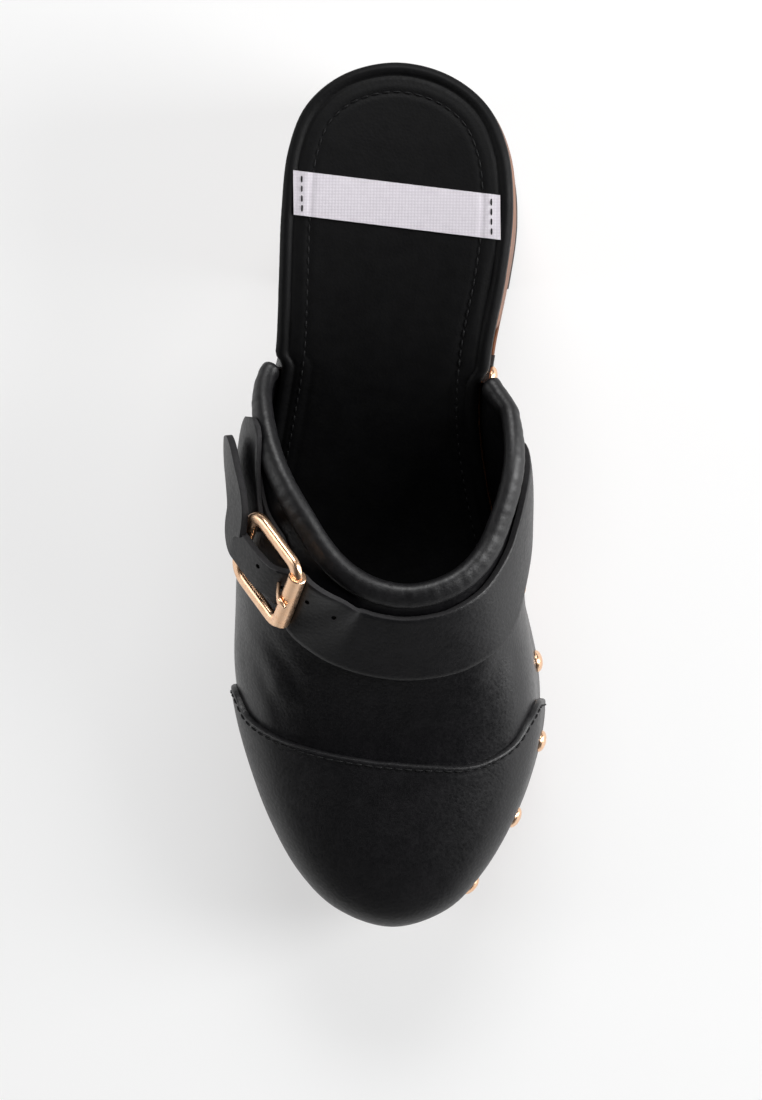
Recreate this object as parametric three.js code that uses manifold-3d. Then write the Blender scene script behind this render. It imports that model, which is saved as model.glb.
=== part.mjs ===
// Studded mule clog, right shoe, standing empty. Millimetres, +Z up, toe towards -Y, inner side +X.
import * as THREE from 'three';
import { mergeVertices } from 'three/addons/utils/BufferGeometryUtils.js';
import Module from 'manifold-3d';

const wasm = await Module();
wasm.setup();

// Driving dimensions
const shoeLength = 246;
const ballWidth = 87;
const heelSeatHeight = 86;
const platformHeight = 29;
const instepRise = 58;
const upperWall = 2;
const marginDepth = 12;
const clearance = 0.3;
const treadThickness = 3;
const heelPieceThickness = 5;
const toeSpring = 4;
const insoleThickness = 5;
const collarWidth = 7.5;
const collarThickness = 5.4;
const capThickness = 1.5;
const strapWidth = 21;
const strapThickness = 2;
const strapTipWidth = 11.4;
const chapeWidth = 14;
const chapeThickness = 1.7;
const tabThickness = 1.4;
const tabOverhang = 1.5;
const buckleInnerLength = 19.5;
const buckleBar = 2.6;
const buckleThickness = 2.2;
const buckleTilt = THREE.MathUtils.degToRad(10);
const rollerRadius = 2.1;
const studRadius = 3.25;
const studHeight = 1.9;
const studSpacing = 23.4;
const studsEachSide = 8;
const labelWidth = 12.5;
const labelThickness = 0.6;

// Sections from the heel's back (0) to the toe's tip (1). lateral, medial and ridge are shares of the ball
// width, seat is the feather line's share of the way from the platform to the heel seat, rise is the top
// line's share of the instep's rise, outLateral and outMedial are shares of the ball width that the upper
// stands past the sole, and lowLateral and lowMedial are that bulge's height as a share of the rise.
const sections = [
  { at: 0.000, lateral: 0.052, medial: 0.052, seat: 1.000 },
  { at: 0.014, lateral: 0.121, medial: 0.225, seat: 1.000 },
  { at: 0.049, lateral: 0.240, medial: 0.354, seat: 1.000 },
  { at: 0.100, lateral: 0.299, medial: 0.421, seat: 0.995 },
  { at: 0.170, lateral: 0.324, medial: 0.438, seat: 0.965 },
  { at: 0.250, lateral: 0.338, medial: 0.409, seat: 0.890 },
  { at: 0.330, lateral: 0.357, medial: 0.359, seat: 0.765 },
  { at: 0.400, lateral: 0.402, medial: 0.333, seat: 0.580 },
  { at: 0.470, lateral: 0.451, medial: 0.343, seat: 0.380 },
  { at: 0.550, lateral: 0.486, medial: 0.379, seat: 0.175 },
  { at: 0.630, lateral: 0.506, medial: 0.430, seat: 0.055 },
  { at: 0.700, lateral: 0.517, medial: 0.470, seat: 0.015 },
  { at: 0.760, lateral: 0.499, medial: 0.475, seat: 0.000 },
  { at: 0.820, lateral: 0.455, medial: 0.440, seat: 0.005 },
  { at: 0.880, lateral: 0.391, medial: 0.377, seat: 0.020 },
  { at: 0.940, lateral: 0.294, medial: 0.276, seat: 0.045 },
  { at: 0.980, lateral: 0.177, medial: 0.168, seat: 0.062 },
  { at: 1.000, lateral: 0.003, medial: -0.003, seat: 0.070 },
];
const vampSections = [
  { at: 0.290, ridge: 0.020, rise: 0.30 },
  { at: 0.340, ridge: 0.040, rise: 0.44 },
  { at: 0.400, ridge: 0.060, rise: 0.68 },
  { at: 0.470, ridge: 0.060, rise: 0.90 },
  { at: 0.550, ridge: 0.050, rise: 1.00 },
  { at: 0.620, ridge: 0.040, rise: 0.97 },
  { at: 0.700, ridge: 0.020, rise: 0.80 },
  { at: 0.800, ridge: 0.000, rise: 0.60 },
  { at: 0.900, ridge: -0.005, rise: 0.46 },
  { at: 1.000, ridge: -0.005, rise: 0.36 },
];
const bulges = [
  { at: 0.290, outLateral: 0.010, outMedial: 0.015, lowLateral: 0.12, lowMedial: 0.14 },
  { at: 0.340, outLateral: 0.020, outMedial: 0.045, lowLateral: 0.15, lowMedial: 0.20 },
  { at: 0.400, outLateral: 0.022, outMedial: 0.095, lowLateral: 0.17, lowMedial: 0.30 },
  { at: 0.470, outLateral: 0.022, outMedial: 0.118, lowLateral: 0.18, lowMedial: 0.36 },
  { at: 0.550, outLateral: 0.022, outMedial: 0.075, lowLateral: 0.18, lowMedial: 0.32 },
  { at: 0.620, outLateral: 0.022, outMedial: 0.022, lowLateral: 0.18, lowMedial: 0.24 },
  { at: 0.700, outLateral: 0.018, outMedial: 0.002, lowLateral: 0.18, lowMedial: 0.19 },
  { at: 0.800, outLateral: 0.012, outMedial: 0.004, lowLateral: 0.17, lowMedial: 0.17 },
  { at: 0.900, outLateral: 0.010, outMedial: 0.008, lowLateral: 0.16, lowMedial: 0.16 },
  { at: 1.000, outLateral: 0.010, outMedial: 0.010, lowLateral: 0.15, lowMedial: 0.15 },
];
// Underside of the sole: under is the share of the way from the tread to the heel seat.
const undersides = [
  { at: 0.000, under: 0.74 },
  { at: 0.250, under: 0.70 },
  { at: 0.300, under: 0.63 },
  { at: 0.360, under: 0.51 },
  { at: 0.440, under: 0.28 },
  { at: 0.520, under: 0.09 },
  { at: 0.580, under: 0.012 },
  { at: 0.620, under: 0.000 },
  { at: 0.860, under: 0.000 },
  { at: 1.000, under: 0.000 },
];
const vampBack = 0.285;
const toeCentre = 0.865;
const springStart = 0.86;
const treadStart = 0.555;
const heelBlockEnd = 0.262;
const domePower = 2.5;
const crownPower = 2.2;

// Opening's edge from the outer wing round to the inner one: along is a share of the length, across of the
// ball width, and height, over the feather line, of the instep's rise.
const opening = [
  { along: 0.345, across: -0.378, height: 0.13 },
  { along: 0.362, across: -0.380, height: 0.22 },
  { along: 0.387, across: -0.372, height: 0.36 },
  { along: 0.425, across: -0.345, height: 0.55 },
  { along: 0.470, across: -0.290, height: 0.74 },
  { along: 0.515, across: -0.222, height: 0.89 },
  { along: 0.550, across: -0.165, height: 0.97 },
  { along: 0.580, across: -0.090, height: 1.00 },
  { along: 0.599, across: 0.000, height: 1.00 },
  { along: 0.605, across: 0.090, height: 0.99 },
  { along: 0.600, across: 0.190, height: 0.98 },
  { along: 0.583, across: 0.285, height: 0.93 },
  { along: 0.555, across: 0.360, height: 0.86 },
  { along: 0.515, across: 0.408, height: 0.76 },
  { along: 0.470, across: 0.428, height: 0.62 },
  { along: 0.425, across: 0.420, height: 0.44 },
  { along: 0.394, across: 0.400, height: 0.29 },
  { along: 0.375, across: 0.378, height: 0.19 },
  { along: 0.364, across: 0.366, height: 0.13 },
];
// Back edge of the toe cap seen from above, from the outer side to the inner one.
const capEdge = [
  { along: 0.712, across: -0.60 },
  { along: 0.722, across: -0.53 },
  { along: 0.757, across: -0.47 },
  { along: 0.779, across: -0.38 },
  { along: 0.797, across: -0.23 },
  { along: 0.809, across: -0.04 },
  { along: 0.814, across: 0.14 },
  { along: 0.814, across: 0.27 },
  { along: 0.806, across: 0.34 },
  { along: 0.788, across: 0.41 },
  { along: 0.757, across: 0.46 },
  { along: 0.728, across: 0.50 },
  { along: 0.718, across: 0.60 },
];
// Middle lines of the leather strips, in the opening's measures.
const strapFoot = [
  { along: 0.456, across: 0.352, height: 0.05 },
  { along: 0.472, across: 0.425, height: 0.26 },
];
const rollerPlace = { along: 0.6051, across: -0.2561, height: 0.908 };
const barPlace = { along: 0.5483, across: -0.397, height: 0.735 };
const tipRun = [
  { along: 0.512, across: -0.385, height: 0.70, lift: 6.8 },
  { along: 0.475, across: -0.412, height: 0.60, lift: 6.2 },
  { along: 0.433, across: -0.436, height: 0.43, lift: 6.8 },
];
const chapeRun = [
  { along: 0.410, across: -0.385, height: 0.40 },
  { along: 0.462, across: -0.408, height: 0.55 },
  { along: 0.505, across: -0.412, height: 0.64 },
  { along: 0.538, across: -0.400, height: 0.70 },
];
const tabRun = [
  { along: 0.462, across: -0.425, height: 0.44 },
  { along: 0.530, across: -0.412, height: 0.64 },
  { along: 0.570, across: -0.362, height: 0.77 },
  { along: 0.594, across: -0.310, height: 0.84 },
];

// Piecewise cubic through one column of a table, by share of length.
function column(rows, key) {
  const xs = rows.map((row) => row.at);
  const ys = rows.map((row) => row[key]);
  const slopes = xs.map((x, i) => {
    if (i === 0 || i === xs.length - 1) return 0;
    return (ys[i + 1] - ys[i - 1]) / (xs[i + 1] - xs[i - 1]);
  });
  return (at) => {
    const x = Math.min(Math.max(at, xs[0]), xs[xs.length - 1]);
    let i = 0;
    while (i < xs.length - 2 && x > xs[i + 1]) i += 1;
    const span = xs[i + 1] - xs[i];
    const t = (x - xs[i]) / span;
    const a = ys[i] * (2 * t ** 3 - 3 * t ** 2 + 1) + ys[i + 1] * (3 * t ** 2 - 2 * t ** 3);
    const b = slopes[i] * (t ** 3 - 2 * t ** 2 + t) + slopes[i + 1] * (t ** 3 - t ** 2);
    return a + b * span;
  };
}

const smooth = (t) => {
  const c = Math.min(Math.max(t, 0), 1);
  return c * c * (3 - 2 * c);
};
const lerp = (a, b, t) => a + (b - a) * t;
const yAt = (at) => shoeLength * (0.5 - at);
const atY = (y) => 0.5 - y / shoeLength;

const seatShare = column(sections, 'seat');
const underShare = column(undersides, 'under');
const ridgeShare = column(vampSections, 'ridge');
const riseShare = column(vampSections, 'rise');
const bulgeLateral = column(bulges, 'outLateral');
const bulgeMedial = column(bulges, 'outMedial');
const bellyLateral = column(bulges, 'lowLateral');
const bellyMedial = column(bulges, 'lowMedial');

const featherZ = (y) => lerp(platformHeight, heelSeatHeight, seatShare(atY(y)));
const treadLift = (y) => toeSpring * Math.max(0, (atY(y) - springStart) / (1 - springStart)) ** 1.6;
const undersideZ = (y) => {
  const base = treadThickness + clearance;
  return lerp(base, heelSeatHeight, Math.max(0, underShare(atY(y)))) + treadLift(y);
};
const ridgeX = (y) => ballWidth * ridgeShare(atY(y));
const ridgeZ = (y) => featherZ(y) + instepRise * riseShare(atY(y));

// Outline of the sole at the feather line, a closed smooth curve through the sections.
const outlinePoints = [
  ...sections.slice(0, -1).map((row) => new THREE.Vector3(
    row.at === 0 ? ballWidth * row.lateral : -ballWidth * row.lateral, yAt(row.at), 0)),
  ...sections.slice(1).reverse().map((row) => new THREE.Vector3(ballWidth * row.medial, yAt(row.at), 0)),
];
const outlineCurve = new THREE.CatmullRomCurve3(outlinePoints, true, 'centripetal');
const outlineRing = outlineCurve.getPoints(720).slice(0, -1);

// Distance from a plan point to the outline along a plan direction.
function reach(cx, cy, dx, dy) {
  let best = 0;
  for (let i = 0; i < outlineRing.length; i += 1) {
    const a = outlineRing[i];
    const b = outlineRing[(i + 1) % outlineRing.length];
    const ex = b.x - a.x;
    const ey = b.y - a.y;
    const det = dx * ey - dy * ex;
    if (Math.abs(det) < 1e-9) continue;
    const t = ((a.x - cx) * ey - (a.y - cy) * ex) / det;
    const s = ((a.x - cx) * dy - (a.y - cy) * dx) / det;
    if (t > 0 && s >= -1e-6 && s <= 1 + 1e-6) best = Math.max(best, t);
  }
  return best;
}

// Edge of the outline on one side, measured from a middle line that lies well inside it.
const endMargin = 0.02;
const heelMiddle = ballWidth * 0.05;
function sideX(y, side) {
  const yy = Math.min(Math.max(y, yAt(1) + endMargin), yAt(0) - endMargin);
  const cx = lerp(heelMiddle, 0, smooth((atY(yy) - 0.2) / 0.4));
  return cx + side * reach(cx, yy, side, 0);
}

// The upper's outer surface. u runs round the last from the outer wing over the toe to the inner wing,
// q climbs from the lasting margin's lower edge to the ridge.
const yBack = yAt(vampBack);
const yToe = yAt(toeCentre);
const fanShare = 0.24;
const sideShare = (1 - fanShare) / 2;

const ribCache = new Map();
function rib(u) {
  const key = Math.round(u * 1e6);
  if (ribCache.has(key)) return ribCache.get(key);
  let cx;
  let cy;
  let angle;
  if (u < sideShare) {
    cy = lerp(yBack, yToe, u / sideShare);
    angle = Math.PI;
  } else if (u > 1 - sideShare) {
    cy = lerp(yBack, yToe, (1 - u) / sideShare);
    angle = 2 * Math.PI;
  } else {
    cy = yToe;
    angle = Math.PI * (1 + (u - sideShare) / fanShare);
  }
  cx = ridgeX(cy);
  const dx = Math.cos(angle);
  const dy = Math.sin(angle);
  const edge = reach(cx, cy, dx, dy);
  const ey = cy + dy * edge;
  const medial = (1 + dx) / 2;
  const at = atY(ey);
  const bulge = ballWidth * lerp(bulgeLateral(at), bulgeMedial(at), medial);
  const belly = instepRise * lerp(bellyLateral(at), bellyMedial(at), medial);
  const made = { cx, cy, dx, dy, edge, ey, bulge, belly, foot: featherZ(ey) };
  ribCache.set(key, made);
  return made;
}

const lowShare = 0.38;
function upperPoint(u, q) {
  const r = rib(u);
  const bottom = r.foot - marginDepth;
  const waist = r.foot + r.belly;
  if (q < lowShare) {
    const z = lerp(bottom, waist, q / lowShare);
    const out = r.edge + r.bulge * smooth((z - r.foot) / r.belly);
    return new THREE.Vector3(r.cx + r.dx * out, r.cy + r.dy * out, z);
  }
  const angle = (Math.PI / 2) * (q - lowShare) / (1 - lowShare);
  const out = (r.edge + r.bulge) * Math.cos(angle) ** (2 / domePower);
  const y = r.cy + r.dy * out;
  const lift = Math.sin(angle) ** (2 / crownPower);
  return new THREE.Vector3(r.cx + r.dx * out, y, waist + (ridgeZ(y) - waist) * lift);
}

function upperNormal(u, q) {
  const du = 0.002;
  const dq = 0.004;
  const qq = Math.min(Math.max(q, dq), 1 - 2 * dq);
  const uu = Math.min(Math.max(u, du), 1 - du);
  const along = upperPoint(uu + du, qq).sub(upperPoint(uu - du, qq));
  const up = upperPoint(uu, qq + dq).sub(upperPoint(uu, qq - dq));
  return along.cross(up).normalize();
}

// Nearest place on the upper to a point given by hand.
const coarse = [];
for (let i = 0; i <= 90; i += 1) {
  for (let j = 0; j <= 24; j += 1) {
    coarse.push({ u: i / 90, q: j / 24, p: upperPoint(i / 90, j / 24) });
  }
}
function ontoUpper(point) {
  let best = coarse[0];
  let reachNow = Infinity;
  for (const c of coarse) {
    const d = c.p.distanceToSquared(point);
    if (d < reachNow) {
      reachNow = d;
      best = c;
    }
  }
  let { u, q } = best;
  let stepU = 1 / 90;
  let stepQ = 1 / 24;
  for (let round = 0; round < 12; round += 1) {
    for (const [a, b] of [[1, 0], [-1, 0], [0, 1], [0, -1]]) {
      const nu = Math.min(Math.max(u + a * stepU, 0), 1);
      const nq = Math.min(Math.max(q + b * stepQ, 0), 1);
      const d = upperPoint(nu, nq).distanceToSquared(point);
      if (d < reachNow) {
        reachNow = d;
        u = nu;
        q = nq;
      }
    }
    stepU *= 0.62;
    stepQ *= 0.62;
  }
  return { u, q, point: upperPoint(u, q), normal: upperNormal(u, q) };
}

// Closed mesh from a list of faces given as corner points.
function meshFrom(quads) {
  const flat = [];
  for (const face of quads) {
    for (let k = 1; k < face.length - 1; k += 1) {
      for (const p of [face[0], face[k], face[k + 1]]) flat.push(p.x, p.y, p.z);
    }
  }
  const geometry = new THREE.BufferGeometry();
  geometry.setAttribute('position', new THREE.Float32BufferAttribute(flat, 3));
  const merged = mergeVertices(geometry, 1e-3);
  const kept = [];
  const index = merged.getIndex().array;
  for (let i = 0; i < index.length; i += 3) {
    const [a, b, c] = [index[i], index[i + 1], index[i + 2]];
    if (a !== b && b !== c && a !== c) kept.push(a, b, c);
  }
  merged.setIndex(kept);
  return merged;
}

// Slab between two grids of points with the same rows and columns. A folded slab's last column meets itself
// along the ridge, so it has no wall there.
function slab(outer, inner, folded = false) {
  const last = outer.length - 1;
  const edge = outer[0].length - 1;
  const faces = [];
  for (let i = 0; i < last; i += 1) {
    for (let j = 0; j < edge; j += 1) {
      faces.push([outer[i][j], outer[i + 1][j], outer[i + 1][j + 1], outer[i][j + 1]]);
      faces.push([inner[i][j], inner[i][j + 1], inner[i + 1][j + 1], inner[i + 1][j]]);
    }
    faces.push([outer[i][0], inner[i][0], inner[i + 1][0], outer[i + 1][0]]);
    if (!folded) faces.push([outer[i][edge], outer[i + 1][edge], inner[i + 1][edge], inner[i][edge]]);
  }
  for (let j = 0; j < edge; j += 1) {
    faces.push([outer[0][j], outer[0][j + 1], inner[0][j + 1], inner[0][j]]);
    faces.push([outer[last][j], inner[last][j], inner[last][j + 1], outer[last][j + 1]]);
  }
  return meshFrom(faces);
}

function volumeOf(geometry) {
  const p = geometry.getAttribute('position');
  const index = geometry.getIndex().array;
  let total = 0;
  const a = new THREE.Vector3();
  const b = new THREE.Vector3();
  const c = new THREE.Vector3();
  for (let i = 0; i < index.length; i += 3) {
    a.fromBufferAttribute(p, index[i]);
    b.fromBufferAttribute(p, index[i + 1]);
    c.fromBufferAttribute(p, index[i + 2]);
    total += a.dot(b.cross(c)) / 6;
  }
  return total;
}

// Turns a mesh right side out.
function outwards(geometry) {
  if (volumeOf(geometry) < 0) {
    const index = geometry.getIndex().array;
    for (let i = 0; i < index.length; i += 3) {
      const keep = index[i];
      index[i] = index[i + 1];
      index[i + 1] = keep;
    }
  }
  return geometry;
}

function solid(geometry) {
  const bare = geometry.clone();
  for (const name of ['normal', 'uv']) bare.deleteAttribute(name);
  const merged = outwards(mergeVertices(bare, 1e-4));
  return new wasm.Manifold(new wasm.Mesh({
    numProp: 3,
    vertProperties: new Float32Array(merged.getAttribute('position').array),
    triVerts: new Uint32Array(merged.getIndex().array),
  }));
}

function geometryOf(manifold) {
  const mesh = manifold.getMesh();
  const geometry = new THREE.BufferGeometry();
  geometry.setAttribute('position', new THREE.Float32BufferAttribute(mesh.vertProperties, 3));
  geometry.setIndex(Array.from(mesh.triVerts));
  return geometry;
}

// Upright prism over an outline in plan.
function prism(points, low, high) {
  const shape = new THREE.Shape(points.map((p) => new THREE.Vector2(p.x, p.y)));
  const geometry = new THREE.ExtrudeGeometry(shape, { depth: high - low, bevelEnabled: false });
  geometry.translate(0, 0, low);
  return solid(geometry);
}

// Largest body of a cut piece.
function mainBody(manifold) {
  const parts = manifold.decompose();
  return parts.reduce((a, b) => (b.volume() > a.volume() ? b : a));
}

const spaced = (count, from, to) => Array.from({ length: count }, (_, i) => lerp(from, to, i / (count - 1)));
const planPoint = (row) => new THREE.Vector3(ballWidth * row.across, yAt(row.along), 0);
const fullHeight = heelSeatHeight + instepRise;

// Tube with a ring of points at each stop, closed at both ends.
function sweep(rings) {
  const faces = [];
  for (let k = 0; k < rings.length - 1; k += 1) {
    const count = rings[k].length;
    for (let i = 0; i < count; i += 1) {
      const n = (i + 1) % count;
      faces.push([rings[k][i], rings[k][n], rings[k + 1][n], rings[k + 1][i]]);
    }
  }
  for (const [ring, turn] of [[rings[0], 1], [rings[rings.length - 1], -1]]) {
    const middle = ring.reduce((sum, p) => sum.add(p), new THREE.Vector3()).divideScalar(ring.length);
    for (let i = 0; i < ring.length; i += 1) {
      const n = (i + 1) % ring.length;
      faces.push(turn > 0 ? [middle, ring[n], ring[i]] : [middle, ring[i], ring[n]]);
    }
  }
  return outwards(meshFrom(faces));
}

// Colours and finishes
const leather = () => new THREE.MeshStandardMaterial({ color: 0x18171a, roughness: 0.42, metalness: 0 });
const wood = () => new THREE.MeshStandardMaterial({ color: 0x7a4a2c, roughness: 0.6, metalness: 0 });
const rubber = () => new THREE.MeshStandardMaterial({ color: 0x1b1a19, roughness: 0.85, metalness: 0 });
const gold = () => new THREE.MeshStandardMaterial({ color: 0xd8a581, roughness: 0.25, metalness: 1 });
const ribbon = () => new THREE.MeshStandardMaterial({ color: 0xe4e1e6, roughness: 0.9, metalness: 0 });

const clog = new THREE.Group();
function add(name, geometry, material) {
  const mesh = new THREE.Mesh(geometry, material);
  mesh.name = name;
  clog.add(mesh);
  return mesh;
}

// Stations along the length, closer together at both ends.
const stationCount = 34;
const wingTips = [
  { side: -1, top: 0.348, foot: 0.293 },
  { side: 1, top: 0.367, foot: 0.327 },
];
const rebateRun = 0.016;
const wingStations = wingTips.flatMap(({ top, foot }) => [
  foot - 2 * rebateRun, foot - rebateRun, top - rebateRun, top]);
const stations = [...spaced(stationCount, 0, 1).map((t) => (1 - Math.cos(Math.PI * t)) / 2), ...wingStations]
  .sort((a, b) => a - b)
  .filter((at, i, all) => i === 0 || at - all[i - 1] > 1e-4);

// Plan row across the last at one station, set in from the outline all round, by side.
function planRow(at, insets, cols) {
  const [lateral, medial] = Array.isArray(insets) ? insets : [insets, insets];
  const end = Math.min(lateral, medial);
  const y = lerp(yAt(0) - end, yAt(1) + end, at);
  const left = sideX(yAt(at), -1);
  const right = sideX(yAt(at), 1);
  const most = (right - left) / 8;
  const from = left + Math.min(lateral, most);
  const to = right - Math.min(medial, most);
  return spaced(cols, -1, 1).map((t) => new THREE.Vector3(
    lerp(from, to, (1 + Math.sin(t * Math.PI / 2)) / 2), y, 0));
}

// Layer between two height functions, its edge given by an inset at the top and one at the bottom.
function layer(topZ, topInset, bottomZ, bottomInset, cols) {
  const grid = (inset, height) => stations.map((at) => {
    return planRow(at, inset(at), cols).map((p) => p.setZ(height(p.y, p.x)));
  });
  return outwards(slab(grid(topInset, topZ), grid(bottomInset, bottomZ)));
}

// Sole: platform, waist and block heel in one
const rebate = upperWall + clearance;
const soleTaper = 2.6;
const shelf = 0.35;
const shelfGap = 0.8;
const shelfLap = 0.5;
const soleColumns = 5;
const rebateAt = (at) => wingTips.map((tip) => {
  return lerp(shelf, rebate, smooth((at - tip.foot + 2 * rebateRun) / rebateRun));
});
const soleShelfZ = (y) => featherZ(y) - marginDepth - shelfGap;
const shelfUnderZ = (y) => soleShelfZ(y) - shelfLap;
const upperSole = solid(layer(featherZ, rebateAt, shelfUnderZ, rebateAt, soleColumns));
const lowerSole = solid(layer(soleShelfZ, () => shelf, undersideZ, () => soleTaper, soleColumns));

// Block heel: rings round the seat's back, closed by a slightly hollow breast, narrowing downwards
const heelCentre = new THREE.Vector3(heelMiddle, yAt(heelBlockEnd / 2), 0);
const heelSidePoints = 15;
const breastHollow = 3;
const heelInset = 0.016;
const heelNarrowing = 0.114;
function heelRing(share, z) {
  const breast = yAt(heelBlockEnd);
  const [left, right] = [sideX(breast, -1), sideX(breast, 1)];
  const ats = spaced(heelSidePoints, 0, Math.PI / 2).slice(1).map((t) => heelBlockEnd * (1 - Math.cos(t)));
  const side = (way) => ats.map((at) => new THREE.Vector3(sideX(yAt(at), way), yAt(at), z));
  const front = [-0.5, 0, 0.5].map((t) => {
    return new THREE.Vector3(lerp(left, right, t + 0.5), breast + breastHollow * (1 - t * t), z);
  });
  const narrow = 1 - heelInset - heelNarrowing * share;
  const loop = [...side(-1), ...front, ...side(1).reverse()];
  return loop.map((p) => p.set(lerp(heelCentre.x, p.x, narrow), lerp(heelCentre.y, p.y, narrow), z));
}
const heelTopZ = heelSeatHeight - marginDepth - 2;
const heelFootZ = heelPieceThickness + clearance;
const block = sweep([0, 0.15, 0.4, 0.7, 1].map((t) => heelRing(t, lerp(heelTopZ, heelFootZ, t))));
const sole = mainBody(upperSole.add(lowerSole).add(solid(block)));
add('clog_sole', geometryOf(sole), wood());

add('heel_top_piece', sweep([heelRing(1, heelPieceThickness), heelRing(1, 0)]), rubber());

// Forepart tread, following the toe's spring
const treadStations = stations.filter((at) => at > treadStart);
const treadGrid = (drop) => treadStations.map((at) => {
  return planRow(at, soleTaper, soleColumns).map((p) => p.setZ(undersideZ(p.y) - drop));
});
const treadSlab = slab(treadGrid(clearance), treadGrid(clearance + treadThickness));
add('outsole_forepart', outwards(treadSlab), rubber());

// Insole, flush with the sole's edge at the heel and inside the upper further forward
const insoleEdge = 0.2;
const insoleFit = upperWall + 2 * clearance;
const insoleRoll = 1;
const dishDepth = 0.7;
const insoleInset = (at) => wingTips.map((tip) => {
  return lerp(insoleEdge, insoleFit, smooth((at - tip.top + rebateRun) / rebateRun));
});
const insoleTopInset = (at) => insoleInset(at).map((inset) => inset + insoleRoll);
const insoleLowZ = (y) => featherZ(y) + clearance;
const insoleTopZ = (y, x) => {
  const [left, right] = [sideX(y, -1), sideX(y, 1)];
  const t = (2 * x - left - right) / Math.max(right - left, 1);
  return insoleLowZ(y) + insoleThickness + dishDepth * (t * t - 1);
};
add('insole', layer(insoleTopZ, insoleTopInset, insoleLowZ, insoleInset, soleColumns), leather());

// Upper shell between the outer surface and one set in by its wall
const ribStops = [];
const sideRibs = 20;
const fanRibs = 12;
for (let i = 0; i <= sideRibs; i += 1) ribStops.push(sideShare * i / sideRibs);
for (let i = 1; i < fanRibs; i += 1) ribStops.push(sideShare + fanShare * i / fanRibs);
for (let i = 0; i <= sideRibs; i += 1) ribStops.push(1 - sideShare + sideShare * i / sideRibs);
const bulgeStops = [0, 0.22, 0.5, 1];
const domeStops = [0.45, 0.52, 0.60, 0.69, 0.79, 0.89, 1];

const footQ = (u) => lowShare * marginDepth / (marginDepth + rib(u).belly);
const climbAt = (u) => [0, ...bulgeStops.map((t) => lerp(footQ(u), lowShare, t)), ...domeStops];
const toeRidge = upperNormal(sideShare, 1).add(upperNormal(1 - sideShare, 1));
function skin(offset, us) {
  return us.map((u) => climbAt(u).map((q) => {
    const inFan = u > sideShare && u < 1 - sideShare;
    let n = upperNormal(u, q);
    if (q === 1) n = (inFan ? toeRidge.clone() : n.add(upperNormal(1 - u, q))).setX(0).normalize();
    return upperPoint(u, q).addScaledVector(n, offset);
  }));
}
const shell = (outer, inner, us = ribStops) => outwards(slab(skin(outer, us), skin(inner, us), true));

// Point given by a row of a table, then set on the upper
const rough = (row) => new THREE.Vector3(
  ballWidth * row.across, yAt(row.along), featherZ(yAt(row.along)) + instepRise * row.height);
const seated = (row) => ontoUpper(rough(row));

// Walks over the upper from one place in a direction, keeping to its surface.
function walk(place, direction, distance) {
  const steps = 5;
  let here = place;
  const heading = direction.clone();
  for (let k = 0; k < steps; k += 1) {
    heading.addScaledVector(here.normal, -heading.dot(here.normal)).normalize();
    here = ontoUpper(here.point.clone().addScaledVector(heading, distance / steps));
  }
  return here;
}

// Padded collar, a roll along the opening's edge
const openCurve = (points) => new THREE.CatmullRomCurve3(points, false, 'centripetal');
const openingCurve = openCurve(opening.map(rough));
const collarLine = spaced(38, 0, 1).map((t) => ontoUpper(openingCurve.getPoint(t)));
const collarFrames = collarLine.map((place, i) => {
  const before = collarLine[Math.max(i - 1, 0)].point;
  const after = collarLine[Math.min(i + 1, collarLine.length - 1)].point;
  const along = after.clone().sub(before).normalize();
  const away = along.clone().cross(place.normal).normalize();
  return { ...place, along, away };
});
function collarGeometry(grow, sides, past = 0) {
  const last = collarFrames.length - 1;
  const rings = collarFrames.map((frame, i) => {
    const { away } = frame;
    const ends = i === 0 ? -past : (i === last ? past : 0);
    const place = { point: frame.point.clone().addScaledVector(frame.along, ends), normal: frame.normal };
    const centre = place.point.clone().addScaledVector(away, collarWidth / 2)
      .addScaledVector(place.normal, -upperWall / 2);
    const halfWide = collarWidth / 2 + grow;
    const halfThick = collarThickness / 2 + grow;
    return spaced(sides + 1, 0, 2 * Math.PI).slice(0, -1).map((a) => centre.clone()
      .addScaledVector(away, halfWide * Math.cos(a))
      .addScaledVector(place.normal, halfThick * Math.sin(a)));
  });
  return sweep(rings);
}

// Wedge that trims the wings' back edges, seen from the side.
function sideCut(points, side) {
  const shape = new THREE.Shape(points.map((p) => new THREE.Vector2(p.y, p.z)));
  const geometry = new THREE.ExtrudeGeometry(shape, { depth: ballWidth, bevelEnabled: false });
  geometry.translate(0, 0, side < 0 ? -ballWidth : 0);
  geometry.applyMatrix4(new THREE.Matrix4().makeBasis(
    new THREE.Vector3(0, 1, 0), new THREE.Vector3(0, 0, 1), new THREE.Vector3(1, 0, 0)));
  return solid(geometry);
}
const wingPast = 0.2;
let shellCut = solid(shell(0, -upperWall)).subtract(solid(collarGeometry(clearance, 8, 2)));
for (const tip of wingTips) {
  shellCut = shellCut.subtract(sideCut([
    { y: yAt(tip.top), z: featherZ(yAt(tip.top)) - 2 },
    { y: yAt(tip.foot), z: featherZ(yAt(tip.foot)) - marginDepth - 2 },
    { y: yAt(wingPast), z: featherZ(yAt(tip.foot)) - marginDepth - 2 },
    { y: yAt(wingPast), z: fullHeight },
    { y: yAt(tip.top), z: fullHeight },
  ], tip.side));
}
const upper = mainBody(shellCut);
add('upper', geometryOf(upper), leather());
add('collar', collarGeometry(0, 8), leather());

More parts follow.
